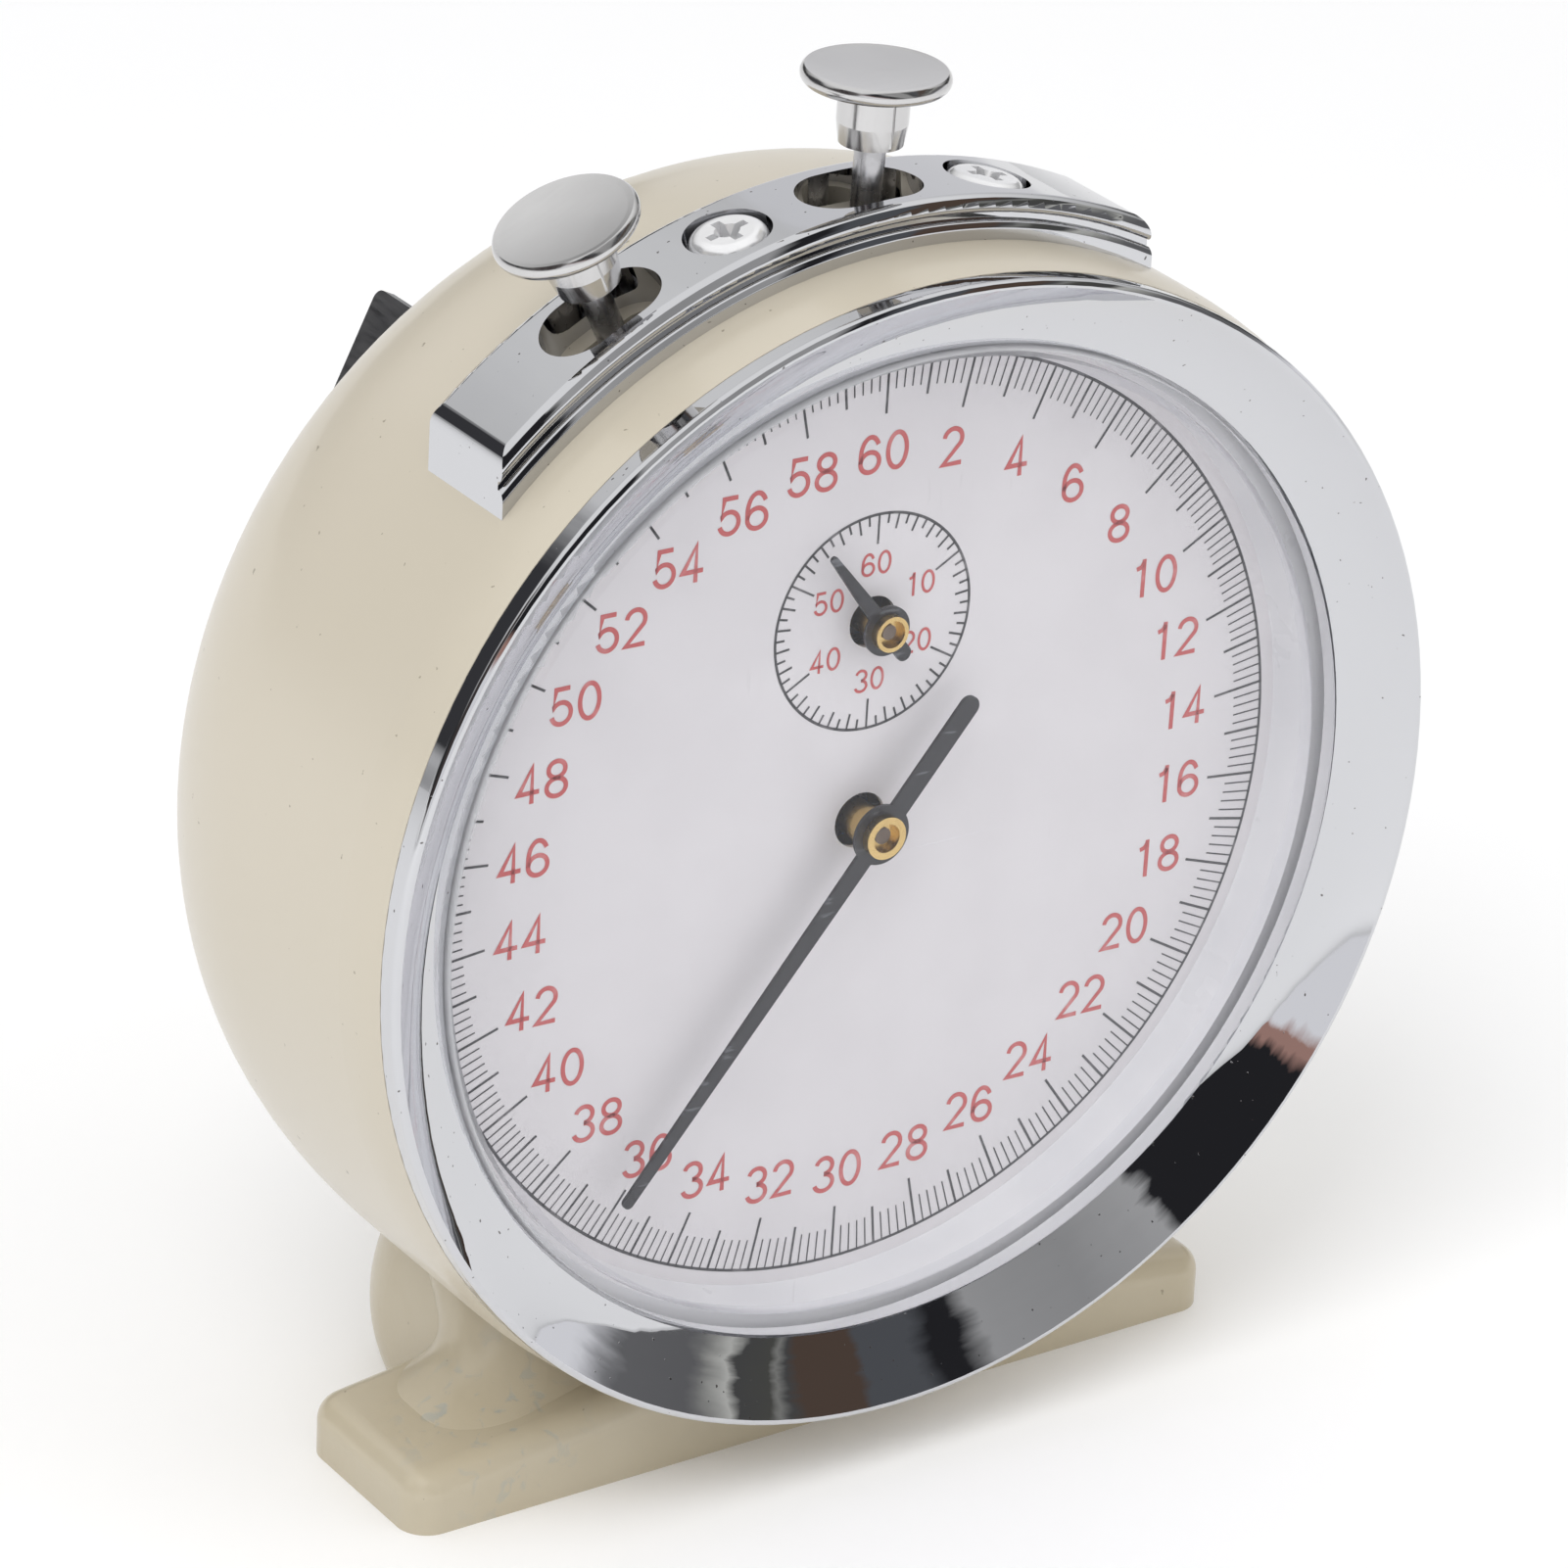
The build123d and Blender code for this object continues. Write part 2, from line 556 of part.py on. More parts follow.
# ------------------------------------------------------------------ movement plates
def front_plate():
    """The front plate, with two ears that guide the button stems and an opening for the brake."""
    low, high = FRONT_PLATE
    plate = disc(PLATE_RADIUS, low, high)
    for angle in STEM_END:
        ear = Box(7.0, EAR_THICKNESS, -1.2 - low, align=(Align.CENTER, Align.MIN, Align.MIN))
        ear = Pos(0, EAR_AT, low) * ear
        ear -= upright(STEM_RADIUS + RUNNING, EAR_AT - 1, EAR_AT + 3)
        plate += at_button(angle, ear)
    plate -= disc(0.9 + RUNNING, low, high, SECONDS_AT)
    plate -= disc(0.8 + RUNNING, low, high, MINUTES_AT)
    for at in (THIRD_AT, ESCAPE_AT, PALLET_AT):
        plate -= disc(0.5 + RUNNING, low, high, at)
    plate -= disc(1.5, low, high, BALANCE_AT)
    plate -= disc(1.5 + RUNNING, low, high, BARREL_AT)
    plate -= holes(PILLARS_AT, 1.2, low, high)
    plate -= holes(DIAL_POSTS_AT, 1.0, low, high)
    plate -= holes((START_LEVER_AT, RESET_HAMMER_AT), 1.0, low, high)
    return plate - prism(Rectangle(8, 6), low, high, BRAKE_OPENING_AT)


def back_plate():
    low, high = BACK_PLATE
    plate = disc(PLATE_RADIUS - 3.0, low, high)
    for at in (SECONDS_AT, MINUTES_AT, THIRD_AT, ESCAPE_AT, PALLET_AT):
        plate -= disc(0.5 + RUNNING, low, high, at)
    plate -= disc(1.5, low, high, BALANCE_AT)
    plate -= disc(2.5 + RUNNING, low, high, BARREL_AT)
    plate -= holes(PILLARS_AT, 1.2, low, high)
    plate -= holes(CASE_POSTS_AT, 1.2, low, high)
    plate -= disc(1.0, low, high, CLICK_AT)
    return plate - disc(0.4, low, high, SPRING_FOOT_AT)


def plate_pillars():
    """Four pillars, tapped at both ends for the pillar screws."""
    low, high = BACK_PLATE[1], FRONT_PLATE[0]
    bars = [disc(2.2, low, high, at) for at in PILLARS_AT]
    bored = [disc(1.2, low, low + 4, at) for at in PILLARS_AT]
    bored += [disc(1.2, high - 4, high, at) for at in PILLARS_AT]
    return Part() + bars - bored


def pillar_screws():
    """Eight cheese-head screws, four through each plate into the pillars."""
    screw = disc(2.3, 0, 1.4) + disc(1.2, -5.2, 0) - Pos(0, 0, 1.4) * Box(5, 0.7, 1.2)
    screws = Part()
    for x, y in PILLARS_AT:
        screws += Pos(x, y, FRONT_PLATE[1]) * screw
        screws += Pos(x, y, BACK_PLATE[0]) * Rot(180, 0, 0) * screw
    return screws


def case_posts():
    """Three posts between the back plate and the housing's back wall."""
    low, high = HOUSING_BACK + HOUSING_WALL, BACK_PLATE[0]
    posts = Part()
    for at in CASE_POSTS_AT:
        post = disc(3.0, low, high, at) + disc(1.2, high, BACK_PLATE[1], at)
        posts += post - disc(1.5, low, low + 8, at)
    return posts


def case_screws():
    """Three screws through the back of the housing into the case posts."""
    screws = Part()
    for x, y in CASE_POSTS_AT:
        screws += Pos(x, y, HOUSING_BACK) * Rot(180, 0, 0) * pan_screw(2.8, 1.8, 1.5, 8.0)
    return screws


def lever_studs():
    """Shoulder screws on the front plate that the two levers turn on."""
    studs = Part()
    for at in (START_LEVER_AT, RESET_HAMMER_AT):
        stud = disc(1.0, FRONT_PLATE[0], FRONT_PLATE[1], at)
        stud += disc(1.5, FRONT_PLATE[1], -2.7, at) + disc(2.4, -2.7, -1.7, at)
        studs += stud - Pos(at[0], at[1], -1.7) * Box(5, 0.6, 0.8)
    return studs


# ------------------------------------------------------------------ wheel train
def seconds_arbor():
    pinion = pinion_face(SECONDS_LEAVES, THIRD_MODULE, bearing_from(SECONDS_AT, THIRD_AT))
    body = arbor(
        SECONDS_AT,
        (0.9, -9.6, 4.2),
        (1.1, -24.6, -9.6),
        (0.5, BACK_PLATE[0], -24.6),
    )
    return body + prism(pinion, -24.0, -21.0, SECONDS_AT)


def seconds_wheel():
    face = wheel_face(SECONDS_TEETH, SECONDS_MODULE, bearing_from(SECONDS_AT, ESCAPE_AT))
    wheel = crossed(prism(face, -13.0, -12.0), 3.2, 11.0, 4, -13.0, -12.0)
    return wheel - disc(1.1, -13.0, -12.0)


def minute_arbor():
    pinion = pinion_face(MINUTE_LEAVES, BARREL_MODULE, bearing_from(MINUTES_AT, BARREL_AT))
    body = arbor(
        MINUTES_AT,
        (0.8, -9.6, 3.0),
        (1.2, -24.6, -9.6),
        (0.5, BACK_PLATE[0], -24.6),
    )
    return body + prism(pinion, -20.4, -17.6, MINUTES_AT)


def minute_wheel():
    face = wheel_face(MINUTE_TEETH, MINUTE_MODULE, bearing_from(MINUTES_AT, THIRD_AT))
    wheel = crossed(prism(face, -16.0, -15.0), 3.4, 12.3, 4, -16.0, -15.0)
    wheel -= disc(1.2, -16.0, -15.0)
    return Pos(*MINUTES_AT) * wheel


def third_arbor():
    pinion = pinion_face(THIRD_LEAVES, MINUTE_MODULE, bearing_from(THIRD_AT, MINUTES_AT))
    body = arbor(
        THIRD_AT,
        (0.5, -9.6, FRONT_PLATE[1]),
        (1.0, -25.8, -9.6),
        (0.5, BACK_PLATE[0], -25.8),
    )
    return body + prism(pinion, -17.2, -14.2, THIRD_AT)


def third_wheel():
    face = wheel_face(THIRD_TEETH, THIRD_MODULE, bearing_from(THIRD_AT, SECONDS_AT))
    wheel = crossed(prism(face, -23.0, -22.0), 3.2, 11.6, 4, -23.0, -22.0)
    wheel -= disc(1.0, -23.0, -22.0)
    return Pos(*THIRD_AT) * wheel


def escape_arbor():
    pinion = pinion_face(ESCAPE_LEAVES, SECONDS_MODULE, bearing_from(ESCAPE_AT, SECONDS_AT))
    body = arbor(
        ESCAPE_AT,
        (0.5, -9.6, FRONT_PLATE[1]),
        (0.7, -25.8, -9.6),
        (0.5, BACK_PLATE[0], -25.8),
    )
    return body + prism(pinion, -14.2, -11.0, ESCAPE_AT)


def escape_wheel():
    """Fifteen pointed teeth that lean the way the wheel turns."""
    pitch = 360 / ESCAPE_TEETH
    points = []
    for tooth in range(ESCAPE_TEETH):
        for radius, lead in ((4.3, 0.45), (ESCAPE_RADIUS, 0.12), (ESCAPE_RADIUS, 0.0), (4.3, 0.1)):
            points.append(polar(radius, (tooth - lead) * pitch))
    face = outline(*points)
    wheel = crossed(prism(face, *ESCAPE_LEVEL), 1.6, 3.4, 3, *ESCAPE_LEVEL)
    return Pos(*ESCAPE_AT) * (wheel - disc(0.7, *ESCAPE_LEVEL))


# ------------------------------------------------------------------ escapement
def along_lever(point):
    """Place a point drawn with +y from the pallet arbor towards the escape wheel."""
    angle = math.radians(LEVER_LINE + 180)
    x, y = point
    return (
        PALLET_AT[0] + x * math.cos(angle) + y * math.sin(angle),
        PALLET_AT[1] - x * math.sin(angle) + y * math.cos(angle),
    )


def pallet_lever():
    """The lever: two short arms that hold the pallet pins, and a fork towards the balance."""
    face = Circle(1.5) + link((0, 0), PIN_POINTS[0], 1.1) + link((0, 0), PIN_POINTS[1], 1.1)
    face += link((0, 0), (0, -7.4), 1.2) + Pos(0, -8.2) * Rectangle(3.0, 2.2)
    face -= Pos(0, -8.9) * Rectangle(1.0, 2.0)
    face -= Circle(0.6)
    lever = prism(Rot(0, 0, -(LEVER_LINE + 180)) * face, *FORK_LEVEL)
    lever = Pos(*PALLET_AT) * lever
    for point in PIN_POINTS:
        lever -= disc(0.25, *FORK_LEVEL, along_lever(point))
    return lever


def pallet_pins():
    """Two hard steel pins that stop the escape wheel; they end just short of its face."""
    end = ESCAPE_LEVEL[1] + 0.12
    return Part() + [disc(0.25, end, FORK_LEVEL[1], along_lever(point)) for point in PIN_POINTS]


def pallet_arbor():
    return arbor(
        PALLET_AT,
        (0.5, -9.6, FRONT_PLATE[1]),
        (0.6, -25.8, -9.6),
        (0.5, BACK_PLATE[0], -25.8),
    )


def balance_wheel():
    rim = tube(BALANCE_RADIUS, BALANCE_RADIUS - 1.2, *BALANCE_LEVEL)
    arm = Pos(0, 0, sum(BALANCE_LEVEL) / 2) * Box(2 * BALANCE_RADIUS - 2, 1.6, 0.8)
    wheel = rim + arm + disc(1.9, *BALANCE_LEVEL) - disc(0.8, *BALANCE_LEVEL)
    return Pos(*BALANCE_AT) * wheel


def balance_staff():
    """The staff with its roller and impulse pin; the pin ends just short of the fork."""
    staff = arbor(
        BALANCE_AT,
        (0.3, -24.9, -10.5),
        (0.8, -24.0, -11.4),
        (2.6, -18.2, -17.5),
    )
    toward_fork = polar(2.0, LEVER_LINE + 180)
    pin = disc(0.3, -17.5, FORK_LEVEL[0] - 0.1)
    return staff + Pos(BALANCE_AT[0] + toward_fork[0], BALANCE_AT[1] + toward_fork[1]) * pin


def hairspring():
    spring = prism(spiral_face(1.3, 5.0, 6, 0.12), -23.4, -22.6)
    inner_collar = tube(1.3, 0.8, -23.6, -22.4)
    return Pos(*BALANCE_AT) * (spring + inner_collar)


def balance_pivot_screws():
    """Two hollow screws, one in each plate, that the staff's ends run in."""
    bore = 0.3 + RUNNING
    front = disc(1.5, -12.0, -7.2, BALANCE_AT) - disc(bore, -12.0, -10.3, BALANCE_AT)
    rear = disc(1.5, -28.0, -23.8, BALANCE_AT) - disc(bore, -25.1, -23.8, BALANCE_AT)
    rear -= disc(0.8 + RUNNING, -24.1, -23.8, BALANCE_AT)
    front -= disc(0.8 + RUNNING, -12.0, -11.3, BALANCE_AT)
    return Part() + [front, rear]


def hairspring_stud():
    """The block on the back plate that holds the hairspring's outer end."""
    return Pos(BALANCE_AT[0] + 6.2, BALANCE_AT[1], BACK_PLATE[1]) * Box(
        1.6, 1.6, 4.0, align=(Align.CENTER, Align.CENTER, Align.MIN)
    )


# ------------------------------------------------------------------ mainspring barrel
def barrel_drum():
    """A toothed cup, open at the back, that the mainspring turns."""
    face = wheel_face(BARREL_TEETH, BARREL_MODULE, bearing_from(BARREL_AT, MINUTES_AT))
    drum = prism(face, -19.6, -18.0) + disc(DRUM_RADIUS, -25.0, -18.0)
    drum -= disc(DRUM_RADIUS - DRUM_WALL, -25.0, -19.0)
    return Pos(*BARREL_AT) * (drum - disc(1.5 + RUNNING, -19.0, -18.0))


def barrel_cover():
    cover = tube(DRUM_RADIUS - DRUM_WALL, 2.5 + RUNNING, -25.0, -24.2)
    return Pos(*BARREL_AT) * cover


def mainspring():
    spring = prism(spiral_face(CORE_RADIUS + 0.4, DRUM_RADIUS - DRUM_WALL - 0.3, 9, 0.3), -23.8, -19.4)
    return Pos(*BARREL_AT) * spring


def barrel_arbor():
    """The winding arbor: it hooks the mainspring and carries the ratchet wheel and the key."""
    return arbor(
        BARREL_AT,
        (1.5, -19.2, FRONT_PLATE[1]),
        (CORE_RADIUS, -24.0, -19.2),
        (2.5, KEY_SHOULDER, -24.0),
        (1.8, KEY_SHOULDER - 8.0, KEY_SHOULDER),
    )


def ratchet_wheel():
    """Saw teeth that let the arbor turn only the winding way."""
    pitch = 360 / RATCHET_TEETH
    points = []
    for tooth in range(RATCHET_TEETH):
        points.append(polar(RATCHET_RADIUS - 1.0, tooth * pitch))
        points.append(polar(RATCHET_RADIUS, tooth * pitch))
    wheel = prism(outline(*points), *RATCHET_LEVEL) - disc(2.5, *RATCHET_LEVEL)
    return Pos(*BARREL_AT) * wheel


def click():
    """The pawl; its nose stands just clear of the ratchet's tooth tips."""
    to_barrel = bearing_from(CLICK_AT, BARREL_AT)
    reach = math.dist(CLICK_AT, BARREL_AT) - RATCHET_RADIUS - 0.15
    nose = (reach * math.cos(math.radians(to_barrel)), reach * math.sin(math.radians(to_barrel)))
    tail = (4.0 * math.cos(math.radians(to_barrel + 110)), 4.0 * math.sin(math.radians(to_barrel + 110)))
    face = Circle(2.0) + outline((-1.4, -0.6), nose, (1.2, 1.2)) + link((0, 0), tail, 1.2)
    face -= Circle(1.2 + RUNNING)
    return prism(face, *RATCHET_LEVEL, CLICK_AT)


def click_screw():
    """A shoulder screw that the click turns on."""
    screw = disc(1.0, BACK_PLATE[0], BACK_PLATE[1], CLICK_AT)
    screw += disc(1.2, RATCHET_LEVEL[0] - 0.1, BACK_PLATE[0], CLICK_AT)
    screw += disc(2.0, RATCHET_LEVEL[0] - 1.0, RATCHET_LEVEL[0] - 0.1, CLICK_AT)
    return screw - Pos(CLICK_AT[0], CLICK_AT[1], RATCHET_LEVEL[0] - 1.0) * Box(5, 0.6, 0.8)


def click_spring():
    """A short wire spring, fixed in the back plate, that leans towards the click."""
    foot = disc(0.4, RATCHET_LEVEL[0], BACK_PLATE[1], SPRING_FOOT_AT)
    tip = (SPRING_FOOT_AT[0] - 1.5, SPRING_FOOT_AT[1] - 6.0)
    wire = prism(link(SPRING_FOOT_AT, tip, 0.5), RATCHET_LEVEL[0], RATCHET_LEVEL[0] + 0.6)
    return foot + wire


def wind_key():
    """A butterfly key: a round hub on the arbor's end and a flat pair of wings."""
    hub = tube(4.2, 1.8, KEY_SHOULDER - 8.0, KEY_SHOULDER)
    hub += disc(4.2, KEY_SHOULDER - 12.0, KEY_SHOULDER - 8.0)
    half = [
        (0, KEY_SHOULDER - 7.0),
        (5.0, KEY_SHOULDER - 7.0),
        (KEY_HALF_SPAN, KEY_END + 7.0),
        (KEY_HALF_SPAN, KEY_END),
        (6.0, KEY_END + 0.2),
        (0, KEY_END + 1.5),
    ]
    mirrored = [(-x, z) for x, z in reversed(half[1:-1])]
    wings = extrude(Plane.YZ * outline(*half, *mirrored), 0.75, both=True)
    wings = fillet(wings.edges().filter_by(Axis.X), 1.2)
    wings -= disc(1.8, KEY_SHOULDER - 8.0, KEY_SHOULDER)
    return Pos(*BARREL_AT) * Rot(0, 0, -KEY_TILT) * (hub + wings)


# ------------------------------------------------------------------ button levers
def start_stop_lever():
    """The start button presses its pad, and its long arm carries the balance brake."""
    pivot = START_LEVER_AT
    pad_distance = STEM_END[START_ANGLE] - STEM_GAP - 1.5
    pad_left = button_point(START_ANGLE, pad_distance, -4.0)
    pad_right = button_point(START_ANGLE, pad_distance, 4.0)
    face = Circle(3.2).moved(Location((pivot[0], pivot[1], 0)))
    face += link(pivot, pad_left, 3.0) + link(pad_left, pad_right, 3.0)
    face += link(pivot, BRAKE_ROOT, 3.0)
    lever = prism(face, *LEVER_LEVEL)
    lever += disc(3.2, FRONT_PLATE[1] + 0.1, LEVER_LEVEL[1], pivot)
    return lever - disc(1.5 + RUNNING, FRONT_PLATE[1] + 0.1, LEVER_LEVEL[1], pivot)


def balance_brake():
    """A thin spring blade that reaches back through the plate to the balance's rim."""
    depth = LEVER_LEVEL[0] - BALANCE_LEVEL[0]
    blade = Box(0.4, 2.0, depth, align=(Align.MIN, Align.CENTER, Align.MAX))
    tab = Box(1.6, 2.0, 0.4, align=(Align.MAX, Align.CENTER, Align.MAX))
    blade = Pos(BRAKE_X, BRAKE_ROOT[1], LEVER_LEVEL[0]) * blade
    return blade + Pos(BRAKE_X, BRAKE_ROOT[1], LEVER_LEVEL[0]) * tab


def reset_hammer():
    """The reset button presses its upper arm, and both arms drop onto the heart cams."""
    pivot = RESET_HAMMER_AT
    top = STEM_END[RESET_ANGLE] - 0.1
    shoulder = (18.0, top - 1.5)
    face = Circle(3.2).moved(Location((pivot[0], pivot[1], 0)))
    face += link(pivot, shoulder, 3.4) + link(shoulder, (-6.0, top - 1.5), 3.0)
    lower = 4.2 + 4.7 + 1.5
    face += link(pivot, (16.0, lower), 3.0) + link((16.0, lower), (-2.5, lower), 3.0)
    lever = prism(face, *LEVER_LEVEL)
    lever += disc(3.2, FRONT_PLATE[1] + 0.1, LEVER_LEVEL[1], pivot)
    return lever - disc(1.5 + RUNNING, FRONT_PLATE[1] + 0.1, LEVER_LEVEL[1], pivot)


# ------------------------------------------------------------------ foot, drawn in the row frame
def drum_space(extra):
    """The housing's outside, grown by extra, in the row frame."""
    return DIAL_FRAME * lathe(drum_face(-extra))


def foot_bar():
    """The long bar along the front: low round-edged ends and a top that rises to the middle."""
    middle_height = FOOT_END_HEIGHT + 0.13 * FOOT_HALF_LENGTH
    front_view = outline(
        (-FOOT_HALF_LENGTH, 0),
        (FOOT_HALF_LENGTH, 0),
        (FOOT_HALF_LENGTH, FOOT_END_HEIGHT),
        (0, middle_height),
        (-FOOT_HALF_LENGTH, FOOT_END_HEIGHT),
    )
    depth = FOOT_BAR_REAR - FOOT_FRONT
    plan = Pos(0, FOOT_FRONT + depth / 2) * RectangleRounded(2 * FOOT_HALF_LENGTH, depth, 3.4)
    bar = extrude(plan, 20) & (Pos(0, 30, 0) * extrude(Plane.XZ * front_view, 60))
    rim = bar.edges().filter_by(lambda edge: FOOT_END_HEIGHT < edge.center().Z < middle_height - 1)
    return fillet(rim, 2.8)


def foot_block(sections):
    """A block lofted through rounded plans: (height, half width, front, rear, corner radius)."""
    plans = []
    for height, half_width, front, rear, corner in sections:
        plan = RectangleRounded(2 * half_width, rear - front, corner)
        plans.append(Pos(0, (front + rear) / 2, height) * plan)
    return loft(plans)


def foot_cheeks():
    """The hollow sweep from the bar's top up to the pedestal, at both ends and in front."""
    rear = FOOT_BAR_REAR - 0.8
    return foot_block(
        [
            (1.0, 44.5, FOOT_FRONT + 2.4, rear, 7.0),
            (6.6, 43.4, FOOT_FRONT + 2.8, rear, 7.0),
            (9.2, 38.6, FOOT_FRONT + 5.2, rear, 7.0),
            (13.0, 36.0, FOOT_FRONT + 8.8, rear + 3.0, 7.5),
            (19.0, 34.2, FOOT_FRONT + 12.4, rear + 7.5, 8.0),
        ]
    )


def foot_pedestal():
    """The block behind the bar: round cornered, widest low down and drawn in at the top."""
    sections = []
    for height, drawn_in in ((0.0, 1.0), (10.0, 0.0), (20.0, 2.3), (27.0, 5.5)):
        sections.append((height, 35.8 - drawn_in, PEDESTAL_FRONT, PEDESTAL_REAR - drawn_in, 10.0))
    return foot_block(sections)


def foot():
    """One hollow casting: a long front bar and a pedestal that cradles the drum."""
    casting = Pos(FOOT_ASIDE, 0, 0) * (foot_bar() + foot_cheeks() + foot_pedestal())
    casting -= drum_space(0)
    hollow_depth = PEDESTAL_REAR - FOOT_FRONT - 2 * FOOT_WALL
    plan = RectangleRounded(54.0, hollow_depth, 5.0)
    hollow = Pos(FOOT_ASIDE, (FOOT_FRONT + PEDESTAL_REAR) / 2, 0) * extrude(plan, 40)
    casting -= hollow - drum_space(FOOT_WALL)
    for z in FOOT_SCREWS_Z:
        casting -= Pos(0, -z, 0) * Cylinder(2.0, 30)
    return casting


def foot_screws():
    """Two screws up through the foot's roof into nuts inside the housing."""
    roof = DIAL_AXIS_HEIGHT - HOUSING_RADIUS - FOOT_WALL
    screws = Part()
    for z in FOOT_SCREWS_Z:
        screws += Pos(0, -z, roof) * Rot(180, 0, 0) * pan_screw(3.9, 2.2, 2.0, 9.0)
    return screws


def foot_nuts():
    """The nuts that the foot screws pull against, inside the housing."""
    seat = DIAL_AXIS_HEIGHT - HOUSING_RADIUS + HOUSING_WALL + 0.5
    nuts = Part()
    for z in FOOT_SCREWS_Z:
        nut = extrude(RegularPolygon(4.0, 6), 3.0) - Cylinder(2.0, 10)
        nuts += Pos(0, -z, seat) * nut
    return nuts


# ------------------------------------------------------------------ writing the parts
ON_THE_DIAL_AXIS = {
    "housing": housing,
    "bezel": bezel,
    "crystal": crystal,
    "dial_surround": dial_surround,
    "dial_plate": dial_plate,
    "dial_posts": dial_posts,
    "button_guard": button_guard,
    "guard_screws": guard_screws,
    "start_button": lambda: button_cap(START_ANGLE),
    "start_stem": lambda: button_stem(START_ANGLE),
    "start_spring": lambda: button_spring(START_ANGLE),
    "reset_button": lambda: button_cap(RESET_ANGLE),
    "reset_stem": lambda: button_stem(RESET_ANGLE),
    "reset_spring": lambda: button_spring(RESET_ANGLE),
    "seconds_hand": seconds_hand,
    "seconds_hand_collet": seconds_hand_collet,
    "seconds_heart_cam": seconds_heart_cam,
    "minute_hand": minute_hand,
    "minute_hand_collet": minute_hand_collet,
    "minute_heart_cam": minute_heart_cam,
    "front_plate": front_plate,
    "back_plate": back_plate,
    "plate_pillars": plate_pillars,
    "pillar_screws": pillar_screws,
    "case_posts": case_posts,
    "case_screws": case_screws,
    "lever_studs": lever_studs,
    "seconds_arbor": seconds_arbor,
    "seconds_wheel": seconds_wheel,
    "minute_arbor": minute_arbor,
    "minute_wheel": minute_wheel,
    "third_arbor": third_arbor,
    "third_wheel": third_wheel,
    "escape_arbor": escape_arbor,
    "escape_wheel": escape_wheel,
    "pallet_lever": pallet_lever,
    "pallet_pins": pallet_pins,
    "pallet_arbor": pallet_arbor,
    "balance_wheel": balance_wheel,
    "balance_staff": balance_staff,
    "hairspring": hairspring,
    "hairspring_stud": hairspring_stud,
    "balance_pivot_screws": balance_pivot_screws,
    "barrel_drum": barrel_drum,
    "barrel_cover": barrel_cover,
    "mainspring": mainspring,
    "barrel_arbor": barrel_arbor,
    "ratchet_wheel": ratchet_wheel,
    "click": click,
    "click_screw": click_screw,
    "click_spring": click_spring,
    "wind_key": wind_key,
    "start_stop_lever": start_stop_lever,
    "balance_brake": balance_brake,
    "reset_hammer": reset_hammer,
}
ON_THE_TABLE = {"foot": foot, "foot_screws": foot_screws, "foot_nuts": foot_nuts}

os.makedirs("parts", exist_ok=True)
for name, draw in ON_THE_DIAL_AXIS.items():
    export_step(DIAL_FRAME * draw(), f"parts/{name}.step")
for name, draw in ON_THE_TABLE.items():
    export_step(draw(), f"parts/{name}.step")
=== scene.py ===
import json
import math

import bmesh
import bpy
from mathutils import Matrix, Vector


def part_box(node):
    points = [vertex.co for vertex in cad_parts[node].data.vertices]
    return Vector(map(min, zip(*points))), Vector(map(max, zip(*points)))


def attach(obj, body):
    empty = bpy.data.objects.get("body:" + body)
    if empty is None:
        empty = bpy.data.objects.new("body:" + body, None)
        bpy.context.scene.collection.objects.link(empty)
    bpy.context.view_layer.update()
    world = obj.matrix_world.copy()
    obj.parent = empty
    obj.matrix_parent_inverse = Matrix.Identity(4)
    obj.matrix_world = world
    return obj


# The looks of a table-top stop clock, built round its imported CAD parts: procedural materials
# for every part, the printed scales and numerals of the dial, a pale floor and a soft studio.
# Lengths are metres in the part's own frame, unless a name ends in _MM. Noise scales are waves
# per metre. Colours are linear red, green and blue.

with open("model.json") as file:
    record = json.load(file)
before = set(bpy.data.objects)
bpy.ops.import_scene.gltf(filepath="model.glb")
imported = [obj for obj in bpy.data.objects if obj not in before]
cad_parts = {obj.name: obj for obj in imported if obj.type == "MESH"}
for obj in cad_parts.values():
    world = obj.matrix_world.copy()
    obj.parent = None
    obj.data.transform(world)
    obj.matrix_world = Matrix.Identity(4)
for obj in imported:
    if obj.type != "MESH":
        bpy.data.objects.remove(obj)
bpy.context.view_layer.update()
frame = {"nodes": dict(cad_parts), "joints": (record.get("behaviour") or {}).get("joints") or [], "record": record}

MM = 0.001


def joint_place(name):
    """Where a joint of the part sits, as a vector."""
    return next(Vector(joint["pos_m"]) for joint in frame["joints"] if joint["name"] == name)


# ------------------------------------------------------------------ the dial's own frame
DIAL_CENTRE = joint_place("seconds_turn")
MINUTE_CENTRE = joint_place("minute_turn")
UP_THE_DIAL = MINUTE_CENTRE - DIAL_CENTRE
DRUM_TURN = math.atan2(UP_THE_DIAL.x, UP_THE_DIAL.z)     # the drum's turn on its foot
PRINT_LIFT_MM = 0.03                                     # the ink stands this far off the dial


def clock_point(radius, clock_angle):
    """A point on the dial in millimetres, by radius and degrees clockwise from 12 o'clock."""
    angle = math.radians(clock_angle)
    return Vector((radius * math.sin(angle), radius * math.cos(angle), 0))


def dial_matrix(centre, lift_mm):
    """Takes millimetres on the dial (x right, y up, z to the reader) to the part's frame."""
    face_on = Matrix.Rotation(DRUM_TURN, 4, "Y") @ Matrix.Rotation(math.radians(90), 4, "X")
    lift = Matrix.Translation((0, 0, lift_mm))
    return Matrix.Translation(centre) @ face_on @ Matrix.Scale(MM, 4) @ lift


# ------------------------------------------------------------------ node helpers
FLECK_EDGE = 0.03               # how soft the edge of a fleck is, as a part of the noise's range


